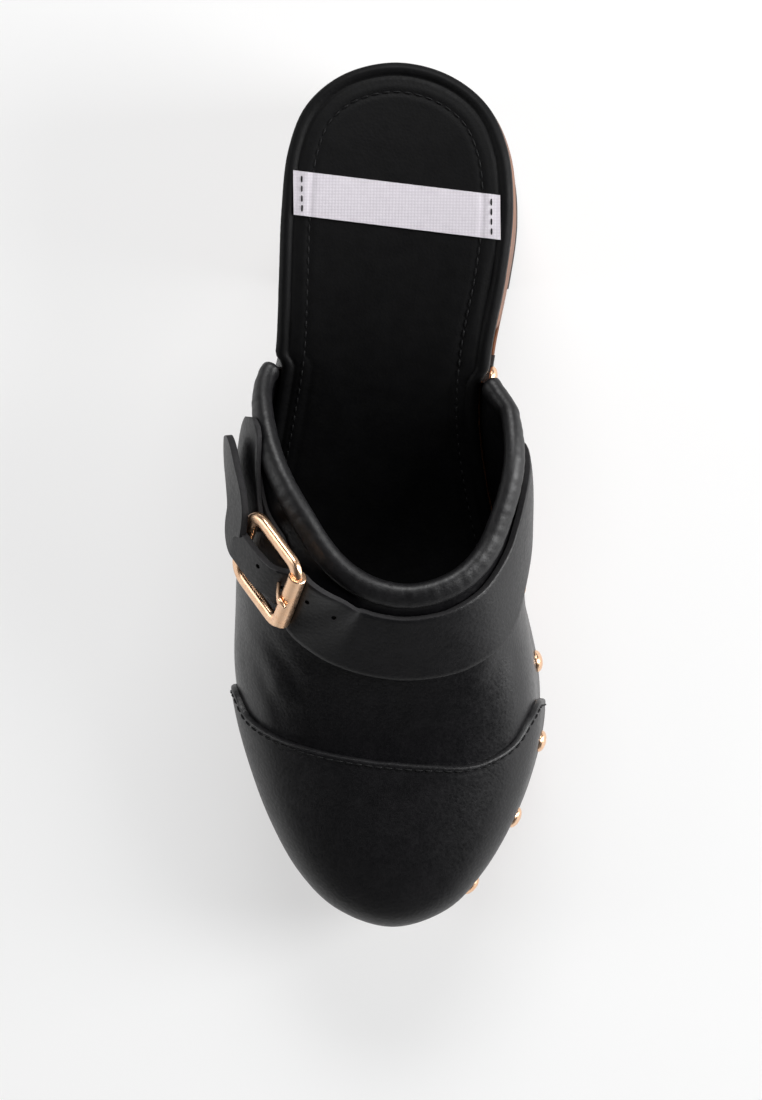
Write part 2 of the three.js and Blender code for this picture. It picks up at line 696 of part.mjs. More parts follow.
// Toe cap, a second skin over the toe with a raised back edge
const capFrom = 0.70;
const capRibs = ribStops.filter((u) => rib(u).cy < yAt(capFrom));
const capFront = openCurve(capEdge.map(planPoint)).getPoints(40);
const capPlan = prism([
  ...capFront,
  new THREE.Vector3(ballWidth * 0.8, yAt(1.05), 0),
  new THREE.Vector3(-ballWidth * 0.8, yAt(1.05), 0),
], -1, fullHeight);
const cap = mainBody(solid(shell(clearance + capThickness, clearance, capRibs)).intersect(capPlan));
add('toe_cap', geometryOf(cap), leather());

// Flat strip along a run of places. hug keeps its columns at one height over the upper.
const stripColumns = 5;
const above = (place, lift) => place.point.clone().addScaledVector(place.normal, lift);
function strip(stops, width, thickness) {
  const across = spaced(stripColumns, -1, 1);
  const rows = stops.map((stop, i) => {
    const before = stops[Math.max(i - 1, 0)].centre;
    const after = stops[Math.min(i + 1, stops.length - 1)].centre;
    const along = after.clone().sub(before).normalize();
    const side = stop.side?.clone() ?? stop.normal.clone().cross(along);
    side.addScaledVector(along, -side.dot(along)).normalize();
    const up = along.clone().cross(side).normalize();
    const half = (width / 2) * (stop.narrow ?? 1);
    return across.map((t) => {
      const flat = stop.centre.clone().addScaledVector(side, half * t);
      if (!stop.hug) return { low: flat, up };
      const on = ontoUpper(flat.clone().addScaledVector(stop.normal, -stop.lift));
      const near = above(on, stop.lift);
      return { low: flat.lerp(near, stop.hug), up: up.clone().lerp(on.normal, stop.hug).normalize() };
    });
  });
  const low = rows.map((row) => row.map((p) => p.low));
  const top = rows.map((row) => row.map((p) => p.low.clone().addScaledVector(p.up, thickness)));
  return outwards(slab(top, low));
}
function hugging(run, lift, count) {
  const curve = openCurve(run.map(rough));
  return spaced(count, 0, 1).map((t) => {
    const on = ontoUpper(curve.getPoint(t));
    return { centre: above(on, lift), normal: on.normal, lift, hug: 1 };
  });
}

// Buckle's own axes: run from its bar to its roller, face away from the upper
const tabLift = clearance;
const chapeLift = tabLift + tabThickness + clearance;
const barSeat = seated(barPlace);
const rollerSeat = seated(rollerPlace);
const barLift = chapeLift + chapeThickness + clearance + buckleThickness / 2;
const rollerLift = tabLift + tabThickness + 7.5 * clearance + strapThickness + rollerRadius;
const rollerAt = buckleInnerLength + buckleBar / 2 + rollerRadius;
const buckleOrigin = above(barSeat, barLift);
const runAxis = above(rollerSeat, rollerLift).sub(buckleOrigin).normalize();
const faceAxis = barSeat.normal.clone().add(rollerSeat.normal);
faceAxis.addScaledVector(runAxis, -faceAxis.dot(runAxis)).normalize();
faceAxis.applyAxisAngle(runAxis, buckleTilt);
const wideAxis = faceAxis.clone().cross(runAxis).normalize();
const inBuckle = (x, y, z) => buckleOrigin.clone().addScaledVector(runAxis, x)
  .addScaledVector(wideAxis, y).addScaledVector(faceAxis, z);
const buckleMatrix = new THREE.Matrix4().makeBasis(runAxis, wideAxis, faceAxis).setPosition(buckleOrigin);

// Strap over the instep, under the roller, over the bar, its tip standing free
const strapOverBar = buckleThickness / 2 + 2 * clearance;
const strapUnderRoller = -rollerRadius - 3 * clearance - strapThickness;
const buckleDip = [
  { x: rollerAt + 1.5, z: strapUnderRoller },
  { x: rollerAt - 1.5, z: strapUnderRoller },
  { x: rollerAt - 4.5, z: strapUnderRoller + 1.3 },
  { x: rollerAt - 8, z: strapUnderRoller * 0.2 },
  { x: rollerAt - 11.5, z: strapOverBar * 0.5 },
  { x: 0, z: strapOverBar },
  { x: -2, z: strapOverBar },
];
const strapGap = 2.3;
const strapFromCollar = { medial: 0.76, lateral: 0.44 };
const strapBeside = spaced(8, strapFromCollar.medial, strapFromCollar.lateral).map((t) => {
  const beside = collarFrames[Math.round(t * (collarFrames.length - 1))];
  return walk(beside, beside.away, collarWidth + strapGap + strapWidth / 2).point;
});
const strapRamp = 12;
const strapLift = 2.4 * clearance;
const strapDrop = 3;
const strapBend = rollerAt + 5.2 * rollerRadius;
const rollerEdge = inBuckle(strapBend, -strapDrop, 0);
const rollerFoot = ontoUpper(rollerEdge).point;
const strapLine = openCurve([...strapFoot.map((row) => seated(row).point), ...strapBeside, rollerFoot]);
const strapOn = spaced(24, 0, 1).map((t) => {
  const on = ontoUpper(strapLine.getPointAt(t));
  const ease = smooth(on.point.distanceTo(rollerFoot) / strapRamp);
  const lift = lerp(rollerLift + strapUnderRoller, strapLift, ease);
  return { centre: above(on, lift), normal: on.normal, lift, hug: 1 };
});
const strapAside = (x) => (-strapDrop * Math.max(x, 0)) / strapBend;
const strapIn = buckleDip.map((row) => ({ centre: inBuckle(row.x, strapAside(row.x), row.z) }));
const strapTip = tipRun.map((row) => {
  const place = seated(row);
  return { centre: above(place, row.lift), normal: place.normal.clone().applyAxisAngle(runAxis, buckleTilt) };
});
const tipStart = 0.94;
const tipRound = 0.061;
const tipStops = [0.965, 0.985, 1];
const narrowing = { from: 0.08, over: 0.42 };
const tipShare = (t) => lerp(1, strapTipWidth / strapWidth, smooth((t - narrowing.from) / narrowing.over));
function strapStops() {
  const stops = [strapOn.at(-1), ...strapIn, ...strapTip];
  const curve = openCurve(stops.map((stop) => stop.centre));
  const sides = openCurve(stops.map((stop, i) => {
    if (strapIn.includes(stop)) return wideAxis.clone().negate();
    const before = i > 0 ? stops[i - 1] : strapOn.at(-2);
    const after = i > 0 ? (stops[i + 1] ?? stop) : stop;
    return stop.normal.clone().cross(after.centre.clone().sub(before.centre)).normalize();
  }));
  const off = [...spaced(20, 0, tipStart).slice(1), ...tipStops].map((t) => ({
    centre: curve.getPoint(t),
    side: sides.getPoint(t),
    hug: 0,
    narrow: tipShare(t) * Math.sqrt(1 - (Math.max(t - tipStart, 0) / tipRound) ** 2),
  }));
  return [...strapOn, ...off];
}
const strapBody = solid(strip(strapStops(), strapWidth, strapThickness));

// Prong from the bar, up through its hole in the strap and onto the roller
const prongWidth = 1.7;
const prongThickness = 1.1;
const prongTopZ = rollerRadius + prongThickness / 2 + clearance;
const prongRun = [
  { x: buckleBar / 2 + clearance, z: -0.2, wide: 1 },
  { x: rollerAt - 8.5, z: -1.1, wide: 1 },
  { x: rollerAt - 6.8, z: -0.7, wide: 1 },
  { x: rollerAt - 2.6, z: rollerRadius, wide: 1 },
  { x: rollerAt - 0.6, z: prongTopZ + 0.1, wide: 1.5 },
  { x: rollerAt + 1.6, z: prongTopZ, wide: 0.5 },
];
function prongGeometry(grow) {
  const rings = prongRun.map((row, i) => {
    const before = prongRun[Math.max(i - 1, 0)];
    const after = prongRun[Math.min(i + 1, prongRun.length - 1)];
    const length = Math.hypot(after.x - before.x, after.z - before.z);
    const nx = -(after.z - before.z) / length;
    const nz = (after.x - before.x) / length;
    const half = prongWidth / 2 * row.wide + grow;
    const thick = prongThickness / 2 + grow;
    return [[half, thick], [-half, thick], [-half, -thick], [half, -thick]].map(([y, t]) => {
      return inBuckle(row.x + nx * t, y, row.z + nz * t);
    });
  });
  return sweep(rings);
}
const prongClearance = 0.45;
const holeRadius = 1.1;
const holeSpacing = 10;
const prongHoleAt = rollerAt - 2 * rollerRadius;
const sides = 10;
const alongY = new THREE.Vector3(0, 1, 0);
function punch(stop) {
  const tool = new THREE.CylinderGeometry(holeRadius, holeRadius, 4 * strapThickness, sides);
  tool.applyQuaternion(new THREE.Quaternion().setFromUnitVectors(alongY, stop.normal));
  tool.translate(stop.centre.x, stop.centre.y, stop.centre.z);
  return solid(tool);
}
const holesBefore = [1, 2].map((k) => {
  const wanted = inBuckle(prongHoleAt + k * holeSpacing, 0, 0);
  return strapOn.reduce((a, b) => (b.centre.distanceTo(wanted) < a.centre.distanceTo(wanted) ? b : a));
});
const holeAfter = { centre: inBuckle(prongHoleAt - holeSpacing, 0, strapOverBar / 2), normal: faceAxis };
let strap = strapBody.subtract(solid(prongGeometry(prongClearance)));
for (const place of [...holesBefore, holeAfter]) strap = strap.subtract(punch(place));
add('strap', geometryOf(mainBody(strap)), leather());
const chapeStops = 12;
add('chape', strip(hugging(chapeRun, chapeLift, chapeStops), chapeWidth, chapeThickness), leather());
const tabStops = hugging(tabRun, tabLift, chapeStops);
tabStops[0].narrow = 0.7;
add('buckle_tab', strip(tabStops, strapWidth + tabOverhang, tabThickness), leather());

// Buckle frame with a round pin where the roller turns
const buckleSlack = 2;
const buckleInnerWidth = strapWidth + buckleSlack;
const pinRadius = 0.9;
const frameLength = rollerAt + buckleBar / 2 + pinRadius;
const frameCorner = { outer: 4.2, inner: 1.8 };
const bevel = 0.5;
function roundedRect(target, x0, x1, half, radius) {
  target.moveTo(x0 + radius, -half);
  target.lineTo(x1 - radius, -half);
  target.absarc(x1 - radius, -half + radius, radius, -Math.PI / 2, 0);
  target.lineTo(x1, half - radius);
  target.absarc(x1 - radius, half - radius, radius, 0, Math.PI / 2);
  target.lineTo(x0 + radius, half);
  target.absarc(x0 + radius, half - radius, radius, Math.PI / 2, Math.PI);
  target.lineTo(x0, -half + radius);
  target.absarc(x0 + radius, -half + radius, radius, Math.PI, Math.PI * 1.5);
}
const ring = new THREE.Shape();
roundedRect(ring, -buckleBar / 2, frameLength, buckleInnerWidth / 2 + buckleBar, frameCorner.outer);
const inside = new THREE.Path();
roundedRect(inside, buckleBar / 2, frameLength - 2 * pinRadius, buckleInnerWidth / 2, frameCorner.inner);
ring.holes.push(inside);
const ringGeometry = new THREE.ExtrudeGeometry(ring, {
  depth: buckleThickness - 2 * bevel, bevelEnabled: true, bevelThickness: bevel, bevelSize: bevel,
  bevelOffset: -bevel, bevelSegments: 1, curveSegments: 5,
});
ringGeometry.translate(0, 0, -buckleThickness / 2 + bevel);
const rollerLength = buckleInnerWidth - 2;
const rollerGap = new THREE.BoxGeometry(
  2 * (rollerRadius + pinRadius + bevel), rollerLength + 2 * clearance, 3 * buckleThickness);
rollerGap.translate(rollerAt + 2 * clearance, 0, 0);
const pin = new THREE.CylinderGeometry(pinRadius, pinRadius, buckleInnerWidth + buckleBar, sides);
pin.translate(rollerAt, 0, 0);
const frame = solid(ringGeometry).subtract(solid(rollerGap)).add(solid(pin));
add('buckle_frame', geometryOf(frame.transform([...buckleMatrix.elements])), gold());

const tubeProfile = [
  [pinRadius + clearance, -rollerLength / 2],
  [rollerRadius, -rollerLength / 2],
  [rollerRadius, rollerLength / 2],
  [pinRadius + clearance, rollerLength / 2],
  [pinRadius + clearance, -rollerLength / 2],
].map(([r, y]) => new THREE.Vector2(r, y));
const rollerTube = new THREE.LatheGeometry(tubeProfile, 16);
rollerTube.translate(rollerAt, 0, 0);
rollerTube.applyMatrix4(buckleMatrix);
add('buckle_roller', geometryOf(solid(rollerTube)), gold());
add('buckle_prong', prongGeometry(0), gold());

// Studs along the lasting margin, counted both ways from the toe
const marginLine = spaced(400, 0, 1).map((u) => {
  const r = rib(u);
  const q = lowShare * (marginDepth / 2) / (marginDepth + r.belly);
  return { u, q, point: upperPoint(u, q) };
});
const lengths = [0];
for (let i = 1; i < marginLine.length; i += 1) {
  lengths.push(lengths[i - 1] + marginLine[i].point.distanceTo(marginLine[i - 1].point));
}
const toeIndex = marginLine.reduce((best, m, i) => (m.point.y < marginLine[best].point.y ? i : best), 0);
const domeProfile = [new THREE.Vector2(0, 0), ...spaced(4, 0, Math.PI / 2).map((a) => {
  return new THREE.Vector2(studRadius * Math.cos(a), studHeight * Math.sin(a));
})];
domeProfile.at(-1).x = 0;
for (let k = -studsEachSide; k <= studsEachSide; k += 1) {
  const wanted = lengths[toeIndex] + k * studSpacing;
  const { u, q, point } = marginLine[lengths.findIndex((length) => length >= wanted)];
  const studReach = (studRadius + clearance) / shoeLength;
  const underCap = atY(point.y) + studReach > capEdge[1].along ? clearance + capThickness : 0;
  const place = { point, normal: upperNormal(u, q) };
  const name = `stud_${String(k + studsEachSide + 1).padStart(2, '0')}`;
  const dome = add(name, new THREE.LatheGeometry(domeProfile, sides + 1), gold());
  dome.quaternion.setFromUnitVectors(alongY, place.normal);
  dome.position.copy(above(place, underCap + clearance));
}

// Woven ribbon sewn across the insole
const labelAt = { lateral: 0.150, medial: 0.180 };
const labelEnd = 3.5;
const ribbonRows = [labelWidth / 2, -labelWidth / 2].map((d) => spaced(9, 0, 1).map((t) => {
  const y = yAt(lerp(labelAt.lateral, labelAt.medial, t));
  const x = lerp(sideX(y, -1) + labelEnd, sideX(y, 1) - labelEnd, t);
  return new THREE.Vector3(x, y + d, insoleTopZ(y + d, x) + 2 * clearance);
}));
const ribbonTop = ribbonRows.map((row) => row.map((p) => p.clone().setZ(p.z + labelThickness)));
add('label', outwards(slab(ribbonTop, ribbonRows)), ribbon());

// The origin is the middle of the floor under the shoe
const box = new THREE.Box3().setFromObject(clog);
clog.position.set(-(box.min.x + box.max.x) / 2, -(box.min.y + box.max.y) / 2, -box.min.z);
clog.updateMatrixWorld(true);

export default clog;
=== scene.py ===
import math

import bpy
import numpy as np
from mathutils import Matrix, Vector
from mathutils.kdtree import KDTree


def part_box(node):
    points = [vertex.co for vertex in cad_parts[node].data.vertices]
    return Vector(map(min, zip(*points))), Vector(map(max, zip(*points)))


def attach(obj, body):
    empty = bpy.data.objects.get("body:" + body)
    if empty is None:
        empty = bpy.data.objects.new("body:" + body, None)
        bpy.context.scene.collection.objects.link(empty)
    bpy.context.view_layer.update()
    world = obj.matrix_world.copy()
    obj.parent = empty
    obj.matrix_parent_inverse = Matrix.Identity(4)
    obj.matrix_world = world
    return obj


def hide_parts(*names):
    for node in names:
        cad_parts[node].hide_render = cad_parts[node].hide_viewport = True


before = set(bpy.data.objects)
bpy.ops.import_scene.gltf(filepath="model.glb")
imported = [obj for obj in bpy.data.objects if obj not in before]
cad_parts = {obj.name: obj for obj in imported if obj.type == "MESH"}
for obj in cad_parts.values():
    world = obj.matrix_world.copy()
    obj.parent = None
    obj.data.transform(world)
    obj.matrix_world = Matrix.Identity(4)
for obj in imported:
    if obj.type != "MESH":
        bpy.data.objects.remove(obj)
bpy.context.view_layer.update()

# The last's own sizes in millimetres: toe towards -Y, inner side of the foot towards +X
last = {
    "length": 246.0, "ballWidth": 87.0, "heelSeat": 86.0, "platform": 29.0, "instep": 58.0,
    "margin": 12.0, "wall": 2.0, "tread": 3.0, "heelPiece": 5.0, "toeSpring": 4.0, "gap": 0.3,
}
length, ball, instep, margin = (last[key] for key in ("length", "ballWidth", "instep", "margin"))
# at, outer half width, inner half width, seat
sections = np.array([
    (0.000, 0.052, 0.052, 1.000), (0.014, 0.121, 0.225, 1.000), (0.049, 0.240, 0.354, 1.000),
    (0.100, 0.299, 0.421, 0.995), (0.170, 0.324, 0.438, 0.965), (0.250, 0.338, 0.409, 0.890),
    (0.330, 0.357, 0.359, 0.765), (0.400, 0.402, 0.333, 0.580), (0.470, 0.451, 0.343, 0.380),
    (0.550, 0.486, 0.379, 0.175), (0.630, 0.506, 0.430, 0.055), (0.700, 0.517, 0.470, 0.015),
    (0.760, 0.499, 0.475, 0.000), (0.820, 0.455, 0.440, 0.005), (0.880, 0.391, 0.377, 0.020),
    (0.940, 0.294, 0.276, 0.045), (0.980, 0.177, 0.168, 0.062), (1.000, 0.003, -0.003, 0.070)])
# at, ridge, rise, bulge outer, bulge inner, belly outer, belly inner
vamp = np.array([
    (0.290, 0.020, 0.30, 0.010, 0.015, 0.12, 0.14), (0.340, 0.040, 0.44, 0.020, 0.045, 0.15, 0.20),
    (0.400, 0.060, 0.68, 0.022, 0.095, 0.17, 0.30), (0.470, 0.060, 0.90, 0.022, 0.118, 0.18, 0.36),
    (0.550, 0.050, 1.00, 0.022, 0.075, 0.18, 0.32), (0.620, 0.040, 0.97, 0.022, 0.022, 0.18, 0.24),
    (0.700, 0.020, 0.80, 0.018, 0.002, 0.18, 0.19), (0.800, 0.000, 0.60, 0.012, 0.004, 0.17, 0.17),
    (0.900, -0.005, 0.46, 0.010, 0.008, 0.16, 0.16), (1.000, -0.005, 0.36, 0.010, 0.010, 0.15, 0.15)])
undersides = np.array([
    (0.000, 0.74), (0.250, 0.70), (0.300, 0.63), (0.360, 0.51), (0.440, 0.28),
    (0.520, 0.09), (0.580, 0.012), (0.620, 0.0), (0.860, 0.0), (1.000, 0.0)])
# along, across, height
opening = np.array([
    (0.345, -0.378, 0.13), (0.362, -0.380, 0.22), (0.387, -0.372, 0.36), (0.425, -0.345, 0.55),
    (0.470, -0.290, 0.74), (0.515, -0.222, 0.89), (0.550, -0.165, 0.97), (0.580, -0.090, 1.00),
    (0.599, 0.000, 1.00), (0.605, 0.090, 0.99), (0.600, 0.190, 0.98), (0.583, 0.285, 0.93),
    (0.555, 0.360, 0.86), (0.515, 0.408, 0.76), (0.470, 0.428, 0.62), (0.425, 0.420, 0.44),
    (0.394, 0.400, 0.29), (0.375, 0.378, 0.19), (0.364, 0.366, 0.13)])
capEdge = np.array([
    (0.712, -0.60), (0.722, -0.53), (0.757, -0.47), (0.779, -0.38), (0.797, -0.23), (0.809, -0.04),
    (0.814, 0.14), (0.814, 0.27), (0.806, 0.34), (0.788, 0.41), (0.757, 0.46), (0.728, 0.50),
    (0.718, 0.60)])
wingTips = {-1: (0.348, 0.293), 1: (0.367, 0.327)}


def smooth(t):
    c = np.clip(t, 0.0, 1.0)
    return c * c * (3 - 2 * c)


def lerp(a, b, t):
    return a + (b - a) * t


def column(table, index):
    xs, ys = table[:, 0], table[:, index]
    slopes = np.zeros(len(xs))
    slopes[1:-1] = (ys[2:] - ys[:-2]) / (xs[2:] - xs[:-2])

    def value(at):
        x = np.clip(at, xs[0], xs[-1])
        i = np.clip(np.searchsorted(xs, x, side="right") - 1, 0, len(xs) - 2)
        span = xs[i + 1] - xs[i]
        t = (x - xs[i]) / span
        level = ys[i] * (2 * t ** 3 - 3 * t ** 2 + 1) + ys[i + 1] * (3 * t ** 2 - 2 * t ** 3)
        return level + (slopes[i] * (t ** 3 - 2 * t ** 2 + t) + slopes[i + 1] * (t ** 3 - t ** 2)) * span
    return value


def curveThrough(points, closed=False):
    points = np.array(points, float)
    count = len(points)

    def value(t):
        p = (count if closed else count - 1) * np.atleast_1d(np.asarray(t, float))
        i = np.floor(p).astype(int)
        if closed:
            w = p - i
            p0, p1, p2, p3 = (points[(i + k) % count] for k in (-1, 0, 1, 2))
        else:
            i = np.minimum(i, count - 2)
            w = p - i
            ext = np.vstack([2 * points[0] - points[1], points, 2 * points[-1] - points[-2]])
            p0, p1, p2, p3 = (ext[i + 1 + k] for k in (-1, 0, 1, 2))
        pairs = ((p0, p1), (p1, p2), (p2, p3))
        d0, d1, d2 = (np.sum((b - a) ** 2, axis=1) ** 0.25 for a, b in pairs)
        d1 = np.where(d1 < 1e-4, 1.0, d1)
        d0 = np.where(d0 < 1e-4, d1, d0)
        d2 = np.where(d2 < 1e-4, d1, d2)
        d0, d1, d2, w = (v[:, None] for v in (d0, d1, d2, w))
        m1 = ((p1 - p0) / d0 - (p2 - p0) / (d0 + d1) + (p2 - p1) / d1) * d1
        m2 = ((p2 - p1) / d1 - (p3 - p1) / (d1 + d2) + (p3 - p2) / d2) * d1
        c2 = -3 * p1 + 3 * p2 - 2 * m1 - m2
        c3 = 2 * p1 - 2 * p2 + m1 + m2
        return p1 + m1 * w + c2 * w ** 2 + c3 * w ** 3
    return value


def runAlong(points):
    return np.concatenate([[0], np.cumsum(np.linalg.norm(np.diff(points, axis=0), axis=1))])


def sampled(wanted, run, values):
    return np.column_stack([np.interp(wanted, run, values[:, k]) for k in range(values.shape[1])])


def evenly(curve, count):
    points = curve(np.linspace(0, 1, 800))
    run = runAlong(points)
    return sampled(np.linspace(0, run[-1], count), run, points)


def turn(count):
    return np.linspace(0, 2 * math.pi, count, endpoint=False)


def eased(count):
    return (1 - np.cos(math.pi * np.linspace(0, 1, count))) / 2


def squared(v, power):
    return np.sign(v) * np.abs(v) ** power


def treeOf(points):
    tree = KDTree(len(points))
    for index, point in enumerate(points):
        tree.insert(point, index)
    tree.balance()
    return tree


def yAt(at):
    return length * (0.5 - np.asarray(at, float))


def atY(y):
    return 0.5 - np.asarray(y, float) / length


seatShare, underShare = column(sections, 3), column(undersides, 1)
ridgeShare, riseShare = column(vamp, 1), column(vamp, 2)
bulges = {-1: column(vamp, 3), 1: column(vamp, 4)}
bellies = {-1: column(vamp, 5), 1: column(vamp, 6)}


def featherZ(y):
    return lerp(last["platform"], last["heelSeat"], seatShare(atY(y)))


def undersideZ(y):
    lift = last["toeSpring"] * np.maximum(0, (atY(y) - 0.86) / 0.14) ** 1.6
    return lerp(last["tread"] + last["gap"], last["heelSeat"], np.maximum(0, underShare(atY(y)))) + lift


def ridgeX(y):
    return ball * ridgeShare(atY(y))


def ridgeZ(y):
    return featherZ(y) + instep * riseShare(atY(y))


outer = [((ball * row[1]) if row[0] == 0 else -ball * row[1], float(yAt(row[0]))) for row in sections[:-1]]
inner = [(ball * row[2], float(yAt(row[0]))) for row in sections[:0:-1]]
outlineRing = curveThrough(outer + inner, closed=True)(np.arange(1440) / 1440)
ringNext = np.roll(outlineRing, -1, axis=0)


def reach(cx, cy, dx, dy):
    cx, cy, dx, dy = (np.atleast_1d(np.asarray(v, float))[:, None]
                      for v in np.broadcast_arrays(cx, cy, dx, dy))
    ax, ay = outlineRing[:, 0], outlineRing[:, 1]
    ex, ey = ringNext[:, 0] - ax, ringNext[:, 1] - ay
    det = dx * ey - dy * ex
    det = np.where(np.abs(det) < 1e-9, 1e-9, det)
    t = ((ax - cx) * ey - (ay - cy) * ex) / det
    s = ((ax - cx) * dy - (ay - cy) * dx) / det
    return np.where((t > 0) & (s >= -1e-6) & (s <= 1 + 1e-6) & (t < 300), t, 0).max(axis=1)


sideSpan = np.linspace(float(yAt(1)) + 0.02, float(yAt(0)) - 0.02, 1600)
sideMiddle = lerp(ball * 0.05, 0, smooth((atY(sideSpan) - 0.2) / 0.4))
sideTable = {s: sideMiddle + s * reach(sideMiddle, sideSpan, float(s), 0.0) for s in (-1, 1)}


def sideX(y, side):
    return np.interp(y, sideSpan, sideTable[side])


# Ribs of the upper's outer surface, from the outer wing over the toe to the inner one
yBack, yToe = float(yAt(0.285)), float(yAt(0.865))
fanShare = 0.24
sideShare = (1 - fanShare) / 2
lowShare = 0.38
ribU = np.linspace(0, 1, 3001)
ribCy = np.where(ribU < sideShare, lerp(yBack, yToe, ribU / sideShare),
                 np.where(ribU > 1 - sideShare, lerp(yBack, yToe, (1 - ribU) / sideShare), yToe))
ribAngle = math.pi * (1 + np.clip((ribU - sideShare) / fanShare, 0, 1))
ribCx = ridgeX(ribCy)
ribDx, ribDy = np.cos(ribAngle), np.sin(ribAngle)
ribDy[(ribU <= sideShare) | (ribU >= 1 - sideShare)] = 0
ribEdge = reach(ribCx, ribCy, ribDx, ribDy)
ribEnd = ribCy + ribDy * ribEdge
ribInner = (1 + ribDx) / 2
ribBulge = ball * lerp(bulges[-1](atY(ribEnd)), bulges[1](atY(ribEnd)), ribInner)
ribBelly = instep * lerp(bellies[-1](atY(ribEnd)), bellies[1](atY(ribEnd)), ribInner)
ribFoot = featherZ(ribEnd)
ribColumns = np.column_stack([ribCx, ribCy, ribDx, ribDy, ribEdge, ribBulge, ribBelly, ribFoot])


def ribs(u):
    place = np.clip(u, 0, 1) * (len(ribU) - 1)
    i = np.minimum(place.astype(int), len(ribU) - 2)
    w = (place - i)[..., None]
    return np.moveaxis(ribColumns[i] * (1 - w) + ribColumns[i + 1] * w, -1, 0)


def upperPoint(u, q):
    u, q = np.broadcast_arrays(np.asarray(u, float), np.asarray(q, float))
    cx, cy, dx, dy, edge, bulge, belly, foot = ribs(u)
    waist = foot + belly
    lowZ = lerp(foot - margin, waist, q / lowShare)
    lowOut = edge + bulge * smooth((lowZ - foot) / belly)
    angle = (math.pi / 2) * np.clip((q - lowShare) / (1 - lowShare), 0, 1)
    highOut = (edge + bulge) * np.maximum(np.cos(angle), 0) ** (2 / 2.5)
    out = np.where(q < lowShare, lowOut, highOut)
    y = cy + dy * out
    highZ = waist + (ridgeZ(y) - waist) * np.sin(angle) ** (2 / 2.2)
    return np.stack([cx + dx * out, y, np.where(q < lowShare, lowZ, highZ)], axis=-1)


def unit(v):
    return v / np.maximum(np.linalg.norm(v, axis=-1, keepdims=True), 1e-12)


def upperNormal(u, q):
    u, q = np.broadcast_arrays(np.asarray(u, float), np.asarray(q, float))
    uu, qq = np.clip(u, 0.002, 0.998), np.clip(q, 0.004, 0.992)
    along = upperPoint(uu + 0.002, qq) - upperPoint(uu - 0.002, qq)
    up = upperPoint(uu, qq + 0.004) - upperPoint(uu, qq - 0.004)
    return unit(np.cross(along, up))


gridU, gridQ = np.meshgrid(np.linspace(0, 1, 421), np.linspace(0, 1, 141), indexing="ij")
gridPoints = upperPoint(gridU, gridQ).reshape(-1, 3)
gridTree = treeOf(gridPoints)


def ontoUpper(points):
    points = np.atleast_2d(points)
    hits = np.array([gridTree.find(p)[1] for p in points])
    u, q = gridU.reshape(-1)[hits].copy(), gridQ.reshape(-1)[hits].copy()
    for _ in range(6):
        here = upperPoint(u, q)
        du, dq = 1e-3, 2e-3
        u1, q1 = np.clip(u + du, 0, 1), np.clip(q + dq, 0, 1)
        u0, q0 = np.clip(u - du, 0, 1), np.clip(q - dq, 0, 1)
        tu = (upperPoint(u1, q) - upperPoint(u0, q)) / (u1 - u0)[:, None]
        tq = (upperPoint(u, q1) - upperPoint(u, q0)) / (q1 - q0)[:, None]
        away = points - here
        a, b, c = (tu * tu).sum(1), (tu * tq).sum(1), (tq * tq).sum(1)
        e, f = (away * tu).sum(1), (away * tq).sum(1)
        det = np.maximum(a * c - b * b, 1e-9)
        stepU = np.clip((e * c - f * b) / det, -0.004, 0.004)
        stepQ = np.clip((f * a - e * b) / det, -0.008, 0.008)
        u, q = np.clip(u + stepU, 0, 1), np.clip(q + stepQ, 0, 1)
    return {"point": upperPoint(u, q), "normal": upperNormal(u, q)}


def rough(rows):
    rows = np.atleast_2d(rows)
    y = yAt(rows[:, 0])
    return np.column_stack([ball * rows[:, 1], y, featherZ(y) + instep * rows[:, 2]])


def above(place, lift):
    return place["point"] + place["normal"] * np.asarray(lift).reshape(-1, 1)


# Where the last's middle lies in the part's frame, read from the heel piece
heelEnd = 0.262
heelMiddle = np.array([ball * 0.05, float(yAt(heelEnd / 2))])
heelNarrow = 1 - 0.016 - 0.114
heelYs = yAt(heelEnd * (1 - np.cos(np.linspace(0, math.pi / 2, 15)[1:])))
heelXs = [lerp(heelMiddle[0], sideX(heelYs, s), heelNarrow) for s in (-1, 1)]
low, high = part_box("heel_top_piece")
shift = np.array([
    (low.x + high.x) * 500 - (heelXs[0].min() + heelXs[1].max()) / 2,
    high.y * 1000 - lerp(heelMiddle[1], heelYs.max(), heelNarrow),
    0.0])
print("last placed", shift)


def place(points):
    return (np.asarray(points, float) + shift) / 1000


def newMesh(name, spots, faces, fields=None):
    mesh = bpy.data.meshes.new(name)
    mesh.from_pydata(np.asarray(spots).tolist(), [], [list(map(int, f)) for f in faces])
    mesh.validate()
    for key, values in (fields or {}).items():
        values = np.asarray(values, np.float32)
        kind, entry = ("FLOAT_VECTOR", "vector") if values.ndim == 2 else ("FLOAT", "value")
        mesh.attributes.new(key, kind, "POINT").data.foreach_set(entry, values.ravel())
    return mesh


def newObject(name, data):
    obj = bpy.data.objects.new(name, data)
    bpy.context.scene.collection.objects.link(obj)
    return obj


def makePiece(name, body, material, nodes, fields=None, sharp=42):
    return settle(name, newMesh(name, place(body[0]), body[1], fields), material, nodes, sharp)


def settle(name, mesh, material, nodes=(), sharp=42):
    mesh.materials.clear()
    mesh.materials.append(material)
    mesh.shade_smooth()
    mesh.set_sharp_from_angle(angle=math.radians(sharp))
    obj = newObject(name, mesh)
    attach(obj, "root")
    if nodes:
        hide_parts(*nodes)
    return obj


# The object as its modifier makes it; both helpers go
def baked(name, obj, helper):
    bpy.context.view_layer.update()
    made = bpy.data.meshes.new_from_object(obj.evaluated_get(bpy.context.evaluated_depsgraph_get()))
    made.name = name
    bpy.data.objects.remove(obj)
    bpy.data.objects.remove(helper)
    return made


